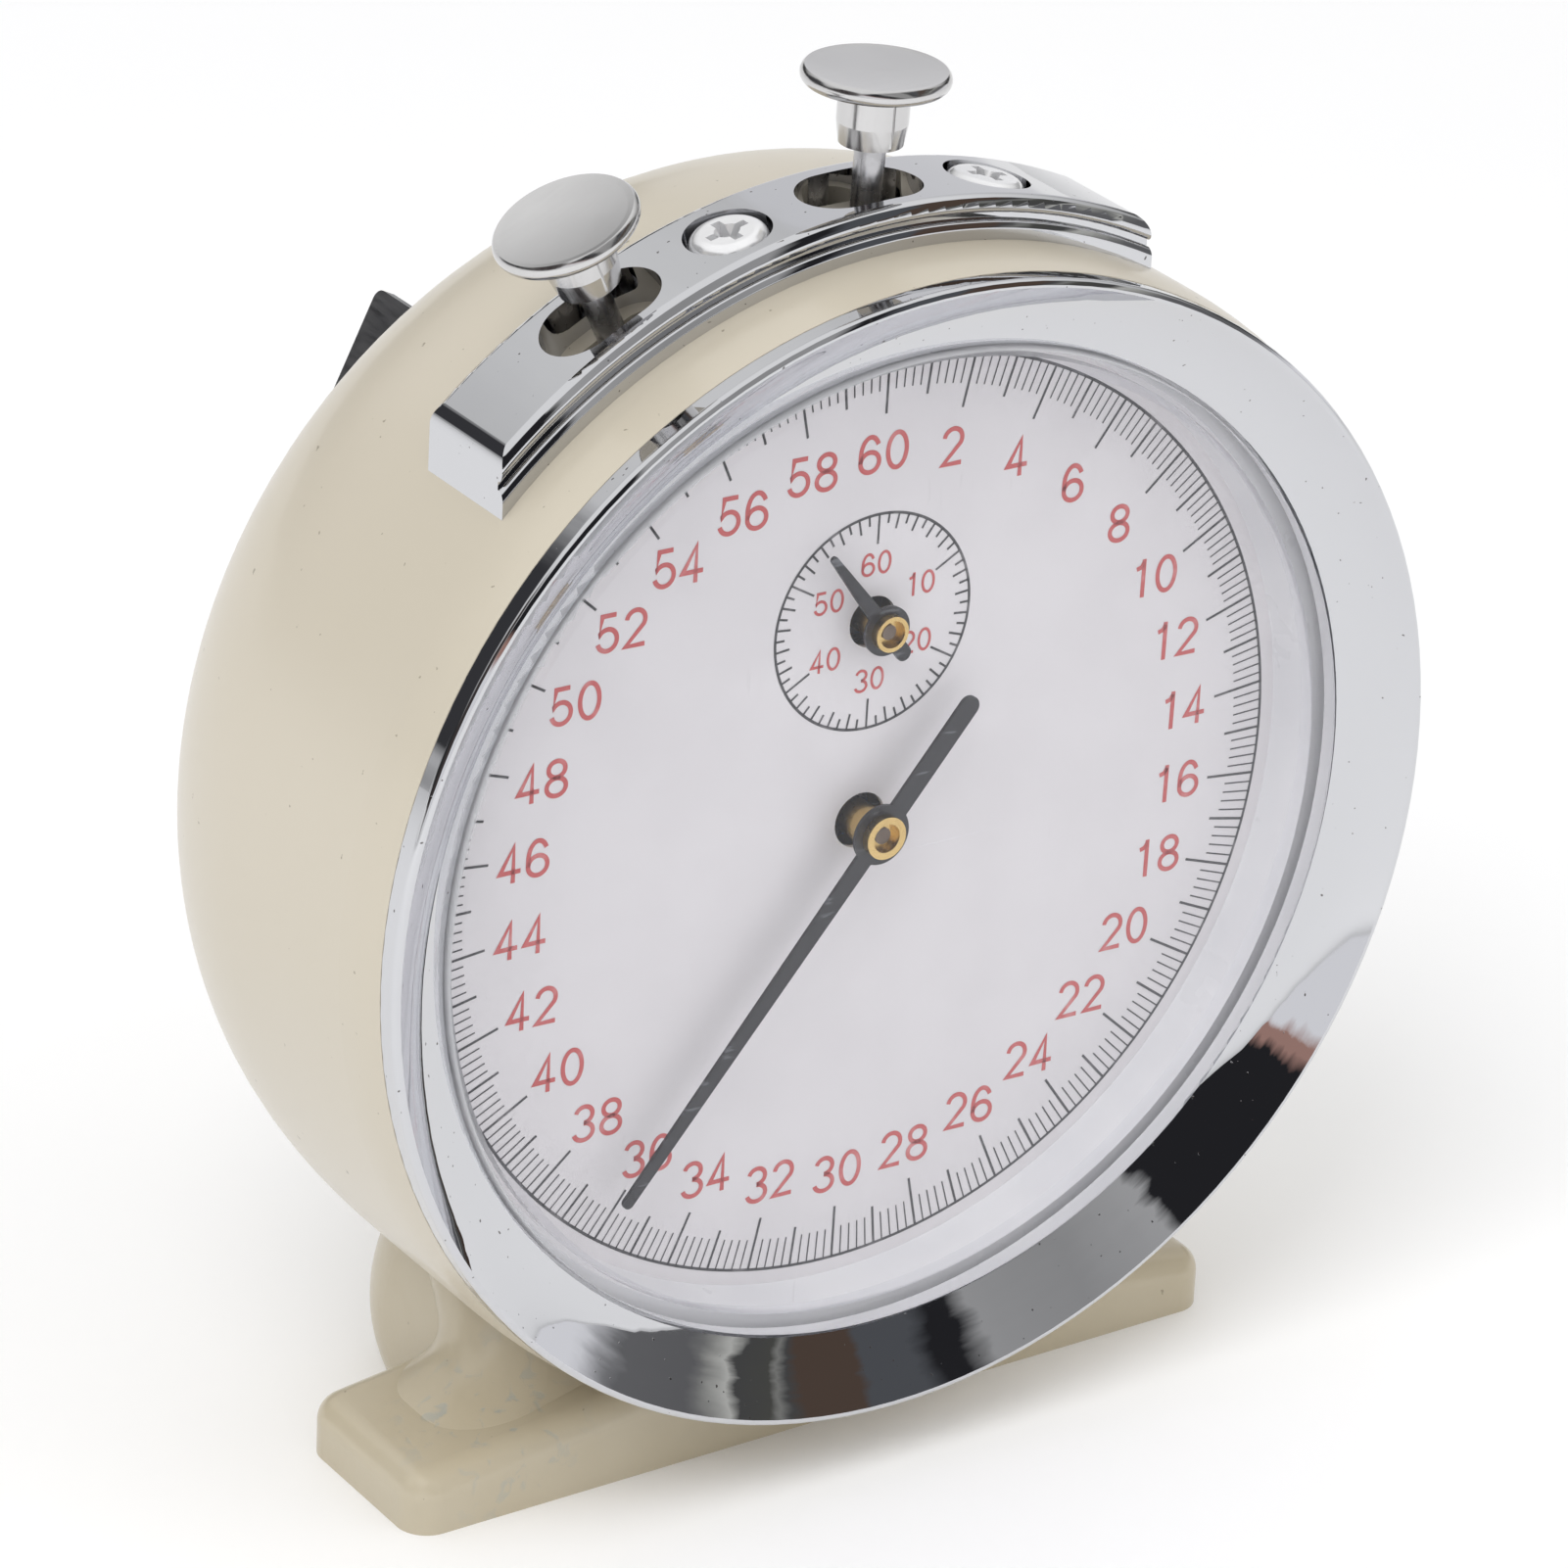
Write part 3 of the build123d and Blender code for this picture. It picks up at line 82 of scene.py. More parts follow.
class Painter:
    """Builds one material's node tree."""

    def __init__(self, name):
        self.material = bpy.data.materials.new(name)
        self.material.use_nodes = True
        self.tree = self.material.node_tree
        self.tree.nodes.clear()
        self.output = self.node("ShaderNodeOutputMaterial")
        self.where = self.node("ShaderNodeTexCoord").outputs["Object"]

    def node(self, kind, **settings):
        made = self.tree.nodes.new(kind)
        for key, value in settings.items():
            setattr(made, key, value)
        return made

    def wire(self, source, target):
        self.tree.links.new(source, target)

    def fill(self, socket, value):
        """Connects a socket to another socket, or sets it to a plain value."""
        if isinstance(value, bpy.types.NodeSocket):
            self.wire(value, socket)
        elif isinstance(value, tuple) and len(value) == 3 and socket.type == "RGBA":
            socket.default_value = (*value, 1)
        else:
            socket.default_value = value

    def noise(self, scale, detail, where=None, distortion=0.0):
        """Soft noise between 0 and 1; detail adds finer waves."""
        made = self.node("ShaderNodeTexNoise")
        self.wire(where or self.where, made.inputs["Vector"])
        made.inputs["Scale"].default_value = scale
        made.inputs["Detail"].default_value = detail
        made.inputs["Distortion"].default_value = distortion
        return made.outputs["Fac"]

    def stretched(self, stretch):
        """Object coordinates scaled along each axis, for brushed or scratched grain."""
        made = self.node("ShaderNodeMapping")
        self.wire(self.where, made.inputs["Vector"])
        made.inputs["Scale"].default_value = stretch
        return made.outputs["Vector"]

    def ramp(self, factor, start, end, low, high):
        """Maps factor from start..end to low..high, smoothly and clamped."""
        made = self.node("ShaderNodeMapRange", interpolation_type="SMOOTHSTEP")
        self.fill(made.inputs["Value"], factor)
        made.inputs["From Min"].default_value = start
        made.inputs["From Max"].default_value = end
        made.inputs["To Min"].default_value = low
        made.inputs["To Max"].default_value = high
        return made.outputs["Result"]

    def mix(self, factor, first, second):
        """Blends two colours."""
        made = self.node("ShaderNodeMix", data_type="RGBA")
        self.fill(made.inputs[0], factor)
        self.fill(made.inputs[6], first)
        self.fill(made.inputs[7], second)
        return made.outputs[2]

    def flecks(self, scale, start, strength, detail=2):
        """Small scattered spots: 0 between them, up to strength inside; start sets how rare."""
        return self.ramp(self.noise(scale, detail), start, start + FLECK_EDGE, 0.0, strength)

    def math(self, operation, first, second):
        """One sum on two values or sockets."""
        made = self.node("ShaderNodeMath", operation=operation)
        self.fill(made.inputs[0], first)
        self.fill(made.inputs[1], second)
        return made.outputs[0]

    def blend_shaders(self, share, first, second):
        """A shader node that is first where share is 0 and second where it is 1."""
        made = self.node("ShaderNodeMixShader")
        self.wire(share, made.inputs[0])
        self.wire(first.outputs[0], made.inputs[1])
        self.wire(second.outputs[0], made.inputs[2])
        return made

    def bump(self, height, strength, distance):
        """A bump normal; distance is the height of a full wave, in metres."""
        made = self.node("ShaderNodeBump")
        self.wire(height, made.inputs["Height"])
        made.inputs["Strength"].default_value = strength
        made.inputs["Distance"].default_value = distance
        return made.outputs["Normal"]

    def surface(self, colour, roughness, metallic=0.0, normal=None, **more):
        """Ends the tree in one principled shader; more sets its other inputs by name."""
        shader = self.node("ShaderNodeBsdfPrincipled")
        self.fill(shader.inputs["Base Color"], colour)
        self.fill(shader.inputs["Roughness"], roughness)
        self.fill(shader.inputs["Metallic"], metallic)
        if normal is not None:
            self.wire(normal, shader.inputs["Normal"])
        for key, value in more.items():
            self.fill(shader.inputs[key.replace("_", " ")], value)
        self.wire(shader.outputs[0], self.output.inputs["Surface"])
        return self.material


# ------------------------------------------------------------------ materials
DRUM_FRESH, DRUM_DULL = (0.565, 0.515, 0.425), (0.555, 0.505, 0.408)
# The foot wears the drum's cream paint; its darker, yellower tone is painted shade.
FOOT_SHADED_FRESH, FOOT_SHADED_DULL = (0.51, 0.455, 0.345), (0.465, 0.405, 0.29)
GRIME = (0.20, 0.17, 0.12)
BARE_CASTING = (0.36, 0.38, 0.36)
SCUFF_PLACE = (0.012, 0.005, 0.0065)        # right of the foot's left end, behind the dial, above the table
SCUFF_INNER, SCUFF_OUTER = 0.002, 0.013     # the scuff is whole to the first radius, gone at the second


def drum_paint():
    """Hard gloss enamel: fine orange peel, clouded colour and a few dark specks."""
    paint = Painter("cream enamel")
    clouds = paint.ramp(paint.noise(35, 2), 0.0, 1.0, 0.0, 1.0)
    colour = paint.mix(clouds, DRUM_FRESH, DRUM_DULL)
    colour = paint.mix(paint.flecks(900, 0.745, 0.7), colour, GRIME)
    peel = paint.bump(paint.noise(420, 2), 0.10, 0.0001)
    return paint.surface(colour, 0.3, normal=peel, Coat_Weight=0.25, Coat_Roughness=0.12)


def foot_scuff(paint):
    """1 where the paint is rubbed off the top of the foot's left end, 0 elsewhere."""
    foot_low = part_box("foot")[0]
    right, behind, up = SCUFF_PLACE
    distance = paint.node("ShaderNodeVectorMath", operation="DISTANCE")
    paint.wire(paint.where, distance.inputs[0])
    distance.inputs[1].default_value = (foot_low.x + right, behind, up)
    near = paint.ramp(distance.outputs["Value"], SCUFF_INNER, SCUFF_OUTER, 1.0, 0.0)
    torn = paint.ramp(paint.noise(420, 6, distortion=0.6), 0.56, 0.66, 0.0, 0.8)
    return paint.math("MULTIPLY", near, torn)


def foot_paint():
    """The foot's enamel: the drum's cream paint, darker and yellower with painted shade, with a worn grey scuff.
    """
    paint = Painter("worn cream enamel")
    clouds = paint.ramp(paint.noise(30, 4), 0.3, 0.7, 0.0, 1.0)
    # painted shade: the foot's cream is drawn darker and yellower than the drum's
    colour = paint.mix(clouds, FOOT_SHADED_FRESH, FOOT_SHADED_DULL)
    scuff = foot_scuff(paint)
    colour = paint.mix(scuff, colour, BARE_CASTING)
    colour = paint.mix(paint.flecks(800, 0.74, 0.6), colour, GRIME)
    roughness = paint.ramp(scuff, 0.0, 1.0, 0.28, 0.6)
    height = paint.math("SUBTRACT", paint.noise(380, 2), paint.math("MULTIPLY", scuff, 0.8))
    normal = paint.bump(height, 0.3, 0.0002)
    return paint.surface(colour, roughness, normal=normal, Coat_Weight=0.2, Coat_Roughness=0.15)


CHROME, PIT = (0.62, 0.625, 0.645), (0.16, 0.15, 0.15)
SATIN_DARK, SATIN_LIGHT = (0.58, 0.575, 0.575), (0.66, 0.655, 0.655)


def chrome():
    """Bright plating with hazy patches and small pits."""
    plate = Painter("bright chrome")
    haze = plate.ramp(plate.noise(70, 5), 0.40, 0.75, 0.012, 0.05)
    pits = plate.flecks(1500, 0.76, 1.0, detail=1)
    colour = plate.mix(pits, CHROME, PIT)
    waves = plate.noise(45, 2)
    height = plate.math("SUBTRACT", waves, plate.math("MULTIPLY", pits, 0.1))
    return plate.surface(colour, haze, 1.0, plate.bump(height, 0.12, 0.0012))


def satin_caps():
    """The buttons' plating: satin, cloudy, with fine grain from side to side."""
    plate = Painter("satin chrome")
    grain = plate.noise(300, 4, plate.stretched((1, 12, 1)))
    colour = plate.mix(plate.noise(160, 3), SATIN_DARK, SATIN_LIGHT)
    roughness = plate.ramp(grain, 0.3, 0.7, 0.14, 0.22)
    return plate.surface(colour, roughness, 1.0, plate.bump(grain, 0.10, 0.00002))


GLASS_TINT, GLASS_SHINE = (0.985, 0.985, 0.99), (0.95, 0.96, 1.0)
# The side wall's greys are painted reflection of the pale room seen in the clear acrylic.
GLASS_WALL_REFLECTION_DARK, GLASS_WALL_REFLECTION_LIGHT = (0.66, 0.67, 0.70), (0.80, 0.80, 0.82)
GLASS_IOR = 1.25                # for the strength of its reflections only
MOST_SHINE = 0.35               # the crystal never mirrors more than this
WALL_COVER = 0.86               # how much the crystal's side wall hides behind its painted reflection


def window_face(glass, seen):
    """The crystal's clear face: see-through, scratched, mirror-like where it is seen glancing."""
    scratches = glass.ramp(glass.noise(9, 8, glass.stretched((60, 1, 9))), 0.70, 0.74, 0.0, 1.0)
    normal = glass.bump(glass.math("ADD", glass.noise(60, 2), scratches), 0.06, 0.0003)
    clear = glass.node("ShaderNodeBsdfTransparent")
    glass.fill(clear.inputs["Color"], GLASS_TINT)
    shine = glass.node("ShaderNodeBsdfGlossy")
    glass.fill(shine.inputs["Color"], GLASS_SHINE)
    glass.fill(shine.inputs["Roughness"], glass.ramp(scratches, 0.0, 1.0, 0.03, 0.3))
    glass.wire(normal, shine.inputs["Normal"])
    fresnel = glass.node("ShaderNodeFresnel")
    glass.fill(fresnel.inputs["IOR"], GLASS_IOR)
    glass.wire(normal, fresnel.inputs["Normal"])
    share = glass.math("MINIMUM", fresnel.outputs[0], MOST_SHINE)
    return glass.blend_shaders(glass.math("MULTIPLY", share, seen), clear, shine)


def window_wall(glass):
    """The crystal's moulded side wall, drawn opaque in a pale, cloudy grey: a painted reflection of the pale room
    that the clear wall mirrors and lets through.
    """
    wall = glass.node("ShaderNodeBsdfPrincipled")
    cloudy = glass.mix(glass.noise(90, 4), GLASS_WALL_REFLECTION_DARK, GLASS_WALL_REFLECTION_LIGHT)
    glass.fill(wall.inputs["Base Color"], cloudy)
    glass.fill(wall.inputs["Roughness"], 0.12)
    return wall


def clear_window():
    """The crystal: a clear face and a side wall with a painted pale reflection. Light passes it freely to the
    dial.
    """
    glass = Painter("clear crystal")
    path = glass.node("ShaderNodeLightPath")
    passing = glass.math("ADD", path.outputs["Is Shadow Ray"], path.outputs["Is Diffuse Ray"])
    seen = glass.math("SUBTRACT", 1.0, passing)
    split = glass.node("ShaderNodeSeparateXYZ")
    glass.wire(glass.node("ShaderNodeNewGeometry").outputs["Normal"], split.inputs[0])
    facing = glass.math("ABSOLUTE", split.outputs["Y"], 0.0)
    steep = glass.ramp(facing, 0.45, 0.65, WALL_COVER, 0.0)
    share = glass.math("MULTIPLY", steep, seen)
    both = glass.blend_shaders(share, window_face(glass, seen), window_wall(glass))
    glass.wire(both.outputs[0], glass.output.inputs["Surface"])
    return glass.material


def plain_matt(name, colour, shade, roughness):
    """Satin paint or plastic with a fine even texture."""
    coat = Painter(name)
    mixed = coat.mix(coat.ramp(coat.noise(80, 5), 0.35, 0.65, 0.0, 1.0), colour, shade)
    grain = coat.noise(1400, 2)
    wear = coat.ramp(coat.noise(150, 4), 0.3, 0.7, roughness - 0.06, roughness + 0.08)
    return coat.surface(mixed, wear, normal=coat.bump(grain, 0.12, 0.00005))


BLACK_PAINT, RUBBED_GREY = (0.018, 0.018, 0.022), (0.16, 0.17, 0.19)


def scratched_black():
    """The hands' black paint, rubbed through to grey along fine scratches."""
    coat = Painter("scratched black")
    rubbed = coat.ramp(coat.noise(260, 7, coat.stretched((1, 1, 4))), 0.60, 0.68, 0.0, 0.6)
    colour = coat.mix(rubbed, BLACK_PAINT, RUBBED_GREY)
    roughness = coat.ramp(rubbed, 0.0, 1.0, 0.28, 0.5)
    return coat.surface(colour, roughness, normal=coat.bump(rubbed, 0.2, 0.00005))


def metal(name, light, dark, roughness, grain_scale, stretch):
    """Turned or brushed bare metal, tarnished in patches."""
    bare = Painter(name)
    tarnish = bare.ramp(bare.noise(110, 5), 0.35, 0.7, 0.0, 1.0)
    colour = bare.mix(tarnish, light, dark)
    grain = bare.noise(grain_scale, 5, bare.stretched(stretch))
    rough = bare.ramp(grain, 0.3, 0.7, roughness * 0.75, roughness * 1.3)
    return bare.surface(colour, rough, 1.0, bare.bump(grain, 0.2, 0.00006))


ZINC_DARK, ZINC_LIGHT = (0.80, 0.80, 0.81), (0.92, 0.92, 0.93)


def plated_screws():
    """Bright zinc plating, a little cloudy, so that it shines pale from every side."""
    plate = Painter("plated screws")
    colour = plate.mix(plate.noise(500, 4), ZINC_DARK, ZINC_LIGHT)
    grain = plate.noise(900, 3)
    roughness = plate.ramp(grain, 0.3, 0.7, 0.12, 0.24)
    return plate.surface(colour, roughness, 0.55, plate.bump(grain, 0.25, 0.00008))


def printed(name, ink, faded, wear):
    """Dial ink, thin in places."""
    coat = Painter(name)
    thin = coat.ramp(coat.noise(300, 5), 0.50, 0.75, 0.0, wear)
    colour = coat.mix(thin, ink, faded)
    grain = coat.noise(2500, 2)
    rough = coat.ramp(grain, 0.3, 0.7, 0.45, 0.6)
    return coat.surface(colour, rough, normal=coat.bump(grain, 0.1, 0.00002))


STEEL_LIGHT, STEEL_DARK = (0.56, 0.56, 0.58), (0.38, 0.37, 0.37)
BRASS_LIGHT, BRASS_DARK = (0.72, 0.52, 0.22), (0.50, 0.34, 0.13)
BLUED_LIGHT, BLUED_DARK = (0.20, 0.24, 0.36), (0.12, 0.14, 0.22)
KEY_STEEL_LIGHT, KEY_STEEL_DARK = (0.20, 0.20, 0.205), (0.145, 0.145, 0.15)
# The seconds and minute arbors in dark brown: painted shade of the dark holes in the hands' collets.
ARBOR_SHADE_LIGHT, ARBOR_SHADE_DARK = (0.20, 0.16, 0.13), (0.12, 0.10, 0.09)
SURROUND_LIGHT, SURROUND_DARK = (0.74, 0.74, 0.755), (0.70, 0.70, 0.72)
DIAL_LIGHT, DIAL_DARK = (0.69, 0.67, 0.685), (0.665, 0.645, 0.66)
EVEN = (1, 1, 1)                # grain that runs no special way

# The finish of each material slot, and of the few nodes that differ from their slot's others.
finishes = {
    "cream_paint": drum_paint(),
    "chrome": chrome(),
    "satin_chrome": satin_caps(),
    "clear_plastic": clear_window(),
    "surround": plain_matt("surround", SURROUND_LIGHT, SURROUND_DARK, 0.32),
    "dial_paint": plain_matt("dial white", DIAL_LIGHT, DIAL_DARK, 0.42),
    "black_paint": scratched_black(),
    "brass": metal("turned brass", BRASS_LIGHT, BRASS_DARK, 0.25, 400, EVEN),
    "plate_brass": metal("brushed brass", BRASS_LIGHT, BRASS_DARK, 0.32, 120, (1, 1, 25)),
    "steel": metal("turned steel", STEEL_LIGHT, STEEL_DARK, 0.25, 500, EVEN),
    "spring_steel": metal("blued steel", BLUED_LIGHT, BLUED_DARK, 0.22, 500, EVEN),
    "zinc_steel": plated_screws(),
    "key_steel": metal("dark key steel", KEY_STEEL_LIGHT, KEY_STEEL_DARK, 0.42, 160, (20, 1, 1)),
}
own_finishes = {
    "foot": foot_paint(),
    # painted shade: the arbors are drawn dark so that the collets' holes look dark
    "seconds_arbor": metal("shade_darkened steel", ARBOR_SHADE_LIGHT, ARBOR_SHADE_DARK, 0.4, 500, EVEN),
}
own_finishes["minute_arbor"] = own_finishes["seconds_arbor"]

for subpart in frame["record"]["subparts"]:
    node = frame["nodes"][subpart["node"]]
    finish = own_finishes.get(subpart["node"], finishes[subpart["material_slot"]])
    node.data.materials.clear()
    node.data.materials.append(finish)


# ------------------------------------------------------------------ printed dial
SECONDS_TRACK_MM = 50.0
SECONDS_TICKS_MM = {"fifth": 46.6, "odd": 45.6, "even": 44.1}      # inner ends of the ticks
SECONDS_NUMERALS_MM = 40.0                                          # radius of the numerals' ring
SECONDS_NUMERAL_HEIGHT_MM = 4.25
MINUTES_TRACK_MM = 11.6
MINUTES_TICKS_MM = {"odd": 10.5, "even": 9.9, "ten": 8.4}
MINUTES_NUMERALS_MM = 6.3
MINUTES_NUMERAL_HEIGHT_MM = 2.55
LINE_MM = {"track": 0.32, "second": 0.28, "fifth": 0.16, "minute_track": 0.30, "minute": 0.24}


def add_quad(mesh, corners):
    """One flat four-sided face."""
    mesh.faces.new([mesh.verts.new(corner) for corner in corners])


def add_ring(mesh, radius, width, steps=240):
    """A thin printed circle."""
    inner, outer = radius - width / 2, radius + width / 2
    for step in range(steps):
        start, end = 360 * step / steps, 360 * (step + 1) / steps
        add_quad(
            mesh,
            [
                clock_point(inner, start),
                clock_point(outer, start),
                clock_point(outer, end),
                clock_point(inner, end),
            ],
        )


def add_tick(mesh, clock_angle, inner, outer, width):
    """A short printed line that points at the dial's centre."""
    aside = clock_point(width / 2, clock_angle + 90)
    near, far = clock_point(inner, clock_angle), clock_point(outer, clock_angle)
    add_quad(mesh, [near - aside, far - aside, far + aside, near + aside])


def finish_print(name, mesh, matrix, material):
    """Turns a bmesh drawn on the dial into a piece that rides with the case."""
    bmesh.ops.recalc_face_normals(mesh, faces=mesh.faces)
    data = bpy.data.meshes.new(name)
    mesh.to_mesh(data)
    mesh.free()
    data.transform(matrix)
    data.materials.append(material)
    piece = bpy.data.objects.new(name, data)
    bpy.context.scene.collection.objects.link(piece)
    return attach(piece, "case")


def seconds_scale(ink):
    """Sixty seconds in fifths: long ticks at even seconds, shorter at odd, shortest between."""
    mesh = bmesh.new()
    add_ring(mesh, SECONDS_TRACK_MM, LINE_MM["track"])
    for fifth in range(60 * 5):
        second, part = divmod(fifth, 5)
        kind = "fifth" if part else ("odd" if second % 2 else "even")
        width = LINE_MM["fifth" if part else "second"]
        add_tick(mesh, fifth * 1.2, SECONDS_TICKS_MM[kind], SECONDS_TRACK_MM, width)
    return finish_print("seconds_scale", mesh, dial_matrix(DIAL_CENTRE, PRINT_LIFT_MM), ink)


def minute_scale(ink):
    """Sixty minutes: the tens have the longest ticks, then the even minutes, then the odd."""
    mesh = bmesh.new()
    add_ring(mesh, MINUTES_TRACK_MM, LINE_MM["minute_track"], steps=120)
    for minute in range(60):
        kind = "ten" if minute % 10 == 0 else ("odd" if minute % 2 else "even")
        add_tick(mesh, minute * 6, MINUTES_TICKS_MM[kind], MINUTES_TRACK_MM, LINE_MM["minute"])
    return finish_print("minute_scale", mesh, dial_matrix(MINUTE_CENTRE, PRINT_LIFT_MM), ink)


INK_WEAR = 0.8                  # how far worn ink fades
STROKE = 0.12                   # a numeral's line width, as a part of its height
DIGIT_STEP = 0.76               # from one digit to the next, as a part of its height
MITRE_LIMIT = 2.0               # a sharp corner of a stroke gets no wider than this


def oval(x, y, across, up, start, end):
    """Points along part of an ellipse, between two angles in degrees anticlockwise from +x."""
    steps = max(6, int(abs(end - start) / 10))
    angles = [math.radians(start + (end - start) * step / steps) for step in range(steps + 1)]
    return [(x + across * math.cos(angle), y + up * math.sin(angle)) for angle in angles]


def digit_strokes(digit):
    """The middle lines of one plain digit, 1 tall, standing on y = 0 with x = 0 its middle."""
    low, high, side = STROKE / 2, 1 - STROKE / 2, 0.26
    six = [
        oval(0, 0.31, side, 0.31 - low, 0, 360),
        oval(0, 0.5, side, high - 0.5, 32, 180) + [(-side, 0.31)],
    ]
    strokes = {
        "0": [oval(0, 0.5, side, high - 0.5, 0, 360)],
        "1": [[(-0.14, 0.76), (0.0, 0.80), (0.075, 0.93)], [(0.075, 1.0), (0.075, 0.0)]],
        "2": [oval(0, 0.69, side - 0.01, high - 0.69, 172, -32) + [(-side, low), (side, low)]],
        "3": [
            oval(0, 0.725, side - 0.03, high - 0.725, 165, -90),
            oval(0, 0.275, side, 0.275 - low + 0.008, 90, -168),
        ],
        "4": [[(0.10, 0.0), (0.10, 0.93), (-side, 0.28), (side + 0.04, 0.28)]],
        "5": [
            [(side - 0.04, high), (-0.155, high), (-0.20, 0.50)]
            + oval(0, 0.33, side, 0.33 - low, 140, -165)
        ],
        "6": six,
        "7": [[(-side, high), (side, high), (0.06, 0.55), (-0.08, 0.0)]],
        "8": [
            oval(0, 0.735, side - 0.035, high - 0.735, 0, 360),
            oval(0, 0.285, side, 0.285 - low, 0, 360),
        ],
        "9": [[(-x, 1 - y) for x, y in line] for line in six],
    }
    return strokes[digit]


def add_stroke(mesh, points, width, place):
    """A flat line of even width through the points; place turns each 2-D point into the mesh's."""
    closed = math.dist(points[0], points[-1]) < 1e-6
    first_before, last_after = (points[-2], points[1]) if closed else (None, None)
    rails = []
    for index, point in enumerate(points):
        before = points[index - 1] if index else first_before
        after = points[index + 1] if index + 1 < len(points) else last_after
        ways = []
        for start, end in ((before, point), (point, after)):
            if start is not None and end is not None:
                ways.append(Vector((end[0] - start[0], end[1] - start[1])).normalized())
        along = sum(ways, Vector((0, 0))).normalized()
        mitre = 1 / max(along.dot(ways[0]), 1 / MITRE_LIMIT)
        aside = Vector((-along.y, along.x)) * width / 2 * mitre
        centre = Vector(point)
        rails.append((mesh.verts.new(place(centre + aside)), mesh.verts.new(place(centre - aside))))
    for (left, right), (next_left, next_right) in zip(rails, rails[1:]):
        mesh.faces.new((left, right, next_right, next_left))


def numerals(name, values, radius, height, centre, ink):
    """Upright numerals round a centre; the mesh is in millimetres on the dial."""
    mesh = bmesh.new()
    for value in values:
        text = str(value)
        middle = clock_point(radius, value * 6)
        for index, digit in enumerate(text):
            shift = (index - (len(text) - 1) / 2) * DIGIT_STEP

            def place(point, shift=shift, middle=middle):
                return middle + Vector(((point.x + shift) * height, (point.y - 0.5) * height, 0))

            for points in digit_strokes(digit):
                add_stroke(mesh, points, STROKE, place)
    return finish_print(name, mesh, dial_matrix(centre, PRINT_LIFT_MM), ink)


black_ink = printed("dial black ink", (0.06, 0.06, 0.065), (0.24, 0.23, 0.24), INK_WEAR)
red_ink = printed("dial red ink", (0.52, 0.10, 0.10), (0.62, 0.27, 0.27), INK_WEAR)

printed_pieces = [
    seconds_scale(black_ink),
    minute_scale(black_ink),
    numerals(
        "seconds_numerals",
        range(2, 61, 2),
        SECONDS_NUMERALS_MM,
        SECONDS_NUMERAL_HEIGHT_MM,
        DIAL_CENTRE,
        red_ink,
    ),
    numerals(
        "minute_numerals",
        range(10, 61, 10),
        MINUTES_NUMERALS_MM,
        MINUTES_NUMERAL_HEIGHT_MM,
        MINUTE_CENTRE,
        red_ink,
    ),
]


# ------------------------------------------------------------------ floor and light
FLOOR_HALF = 3.0
FLOOR_LIGHT, FLOOR_DARK = (0.97, 0.97, 0.975), (0.95, 0.95, 0.955)


def floor():
    """A wide pale floor with a faint texture, so that the clock stands on something."""
    paint = Painter("pale floor")
    tone = paint.mix(paint.noise(6, 3), FLOOR_LIGHT, FLOOR_DARK)
    grain = paint.bump(paint.noise(500, 2), 0.02, 0.0002)
    material = paint.surface(tone, 0.7, normal=grain)
    mesh = bmesh.new()
    corners = ((-1, -1), (1, -1), (1, 1), (-1, 1))
    add_quad(mesh, [Vector((x, y, 0)) * FLOOR_HALF for x, y in corners])
    data = bpy.data.meshes.new("floor")
    mesh.to_mesh(data)
    mesh.free()
    data.materials.append(material)
    made = bpy.data.objects.new("floor", data)
    bpy.context.scene.collection.objects.link(made)


def soft_light(name, place, size, power, aim=Vector((0, 0.02, 0.06))):
    """A square area light that faces the clock. The chrome doesn't mirror it."""
    data = bpy.data.lights.new(name, "AREA")
    data.size = size
    data.energy = power
    lamp = bpy.data.objects.new(name, data)
    lamp.visible_glossy = False
    lamp.location = place
    lamp.rotation_mode = "QUATERNION"
    lamp.rotation_quaternion = (aim - Vector(place)).to_track_quat("-Z", "Y")
    bpy.context.scene.collection.objects.link(lamp)


# What the dished bezel mirrors, seen from the camera: dial seconds and the colour mirrored there.
PALE, BLACK, SLATE = (0.93, 0.93, 0.96), (0.022, 0.022, 0.025), (0.10, 0.105, 0.115)
BROWN, RUST = (0.10, 0.07, 0.055), (0.44, 0.26, 0.22)
BEZEL_MIRRORS = (
    (0.0, PALE),
    (20.2, PALE),
    (20.25, RUST),
    (20.8, RUST),
    (20.85, BLACK),
    (24.0, BLACK),
    (24.05, (0.48, 0.48, 0.48)),
    (26.0, (0.36, 0.36, 0.36)),
    (28.1, (0.42, 0.42, 0.42)),
    (28.15, BLACK),
    (29.0, BLACK),
    (29.1, SLATE),
    (30.4, SLATE),
    (30.45, BROWN),
    (31.8, BROWN),
    (31.85, BLACK),
    (32.05, (0.50, 0.50, 0.48)),
    (32.15, (0.09, 0.09, 0.08)),
    (33.1, (0.08, 0.08, 0.08)),
    (33.15, (0.66, 0.66, 0.62)),
    (33.7, (0.35, 0.35, 0.33)),
    (34.1, (0.15, 0.15, 0.155)),
    (36.0, (0.17, 0.17, 0.175)),
    (36.9, PALE),
)
# Brightness of the rest of the room by height, from eye level (0) to overhead (1).
ROOM_LEVELS = (
    (0.0, 0.95),
    (0.065, 0.95),
    (0.075, 0.03),
    (0.27, 0.04),
    (0.31, 0.27),
    (0.42, 0.56),
    (0.60, 0.80),
    (0.75, 1.0),
)


RAGGED_SCALE, RAGGED_DEPTH = 9.0, 0.06      # how finely and how far the room's edges are shaken
BEZEL_CONE, BEZEL_CONE_BLUR = 49, 2         # degrees: the steepest slope of the bezel's dished face


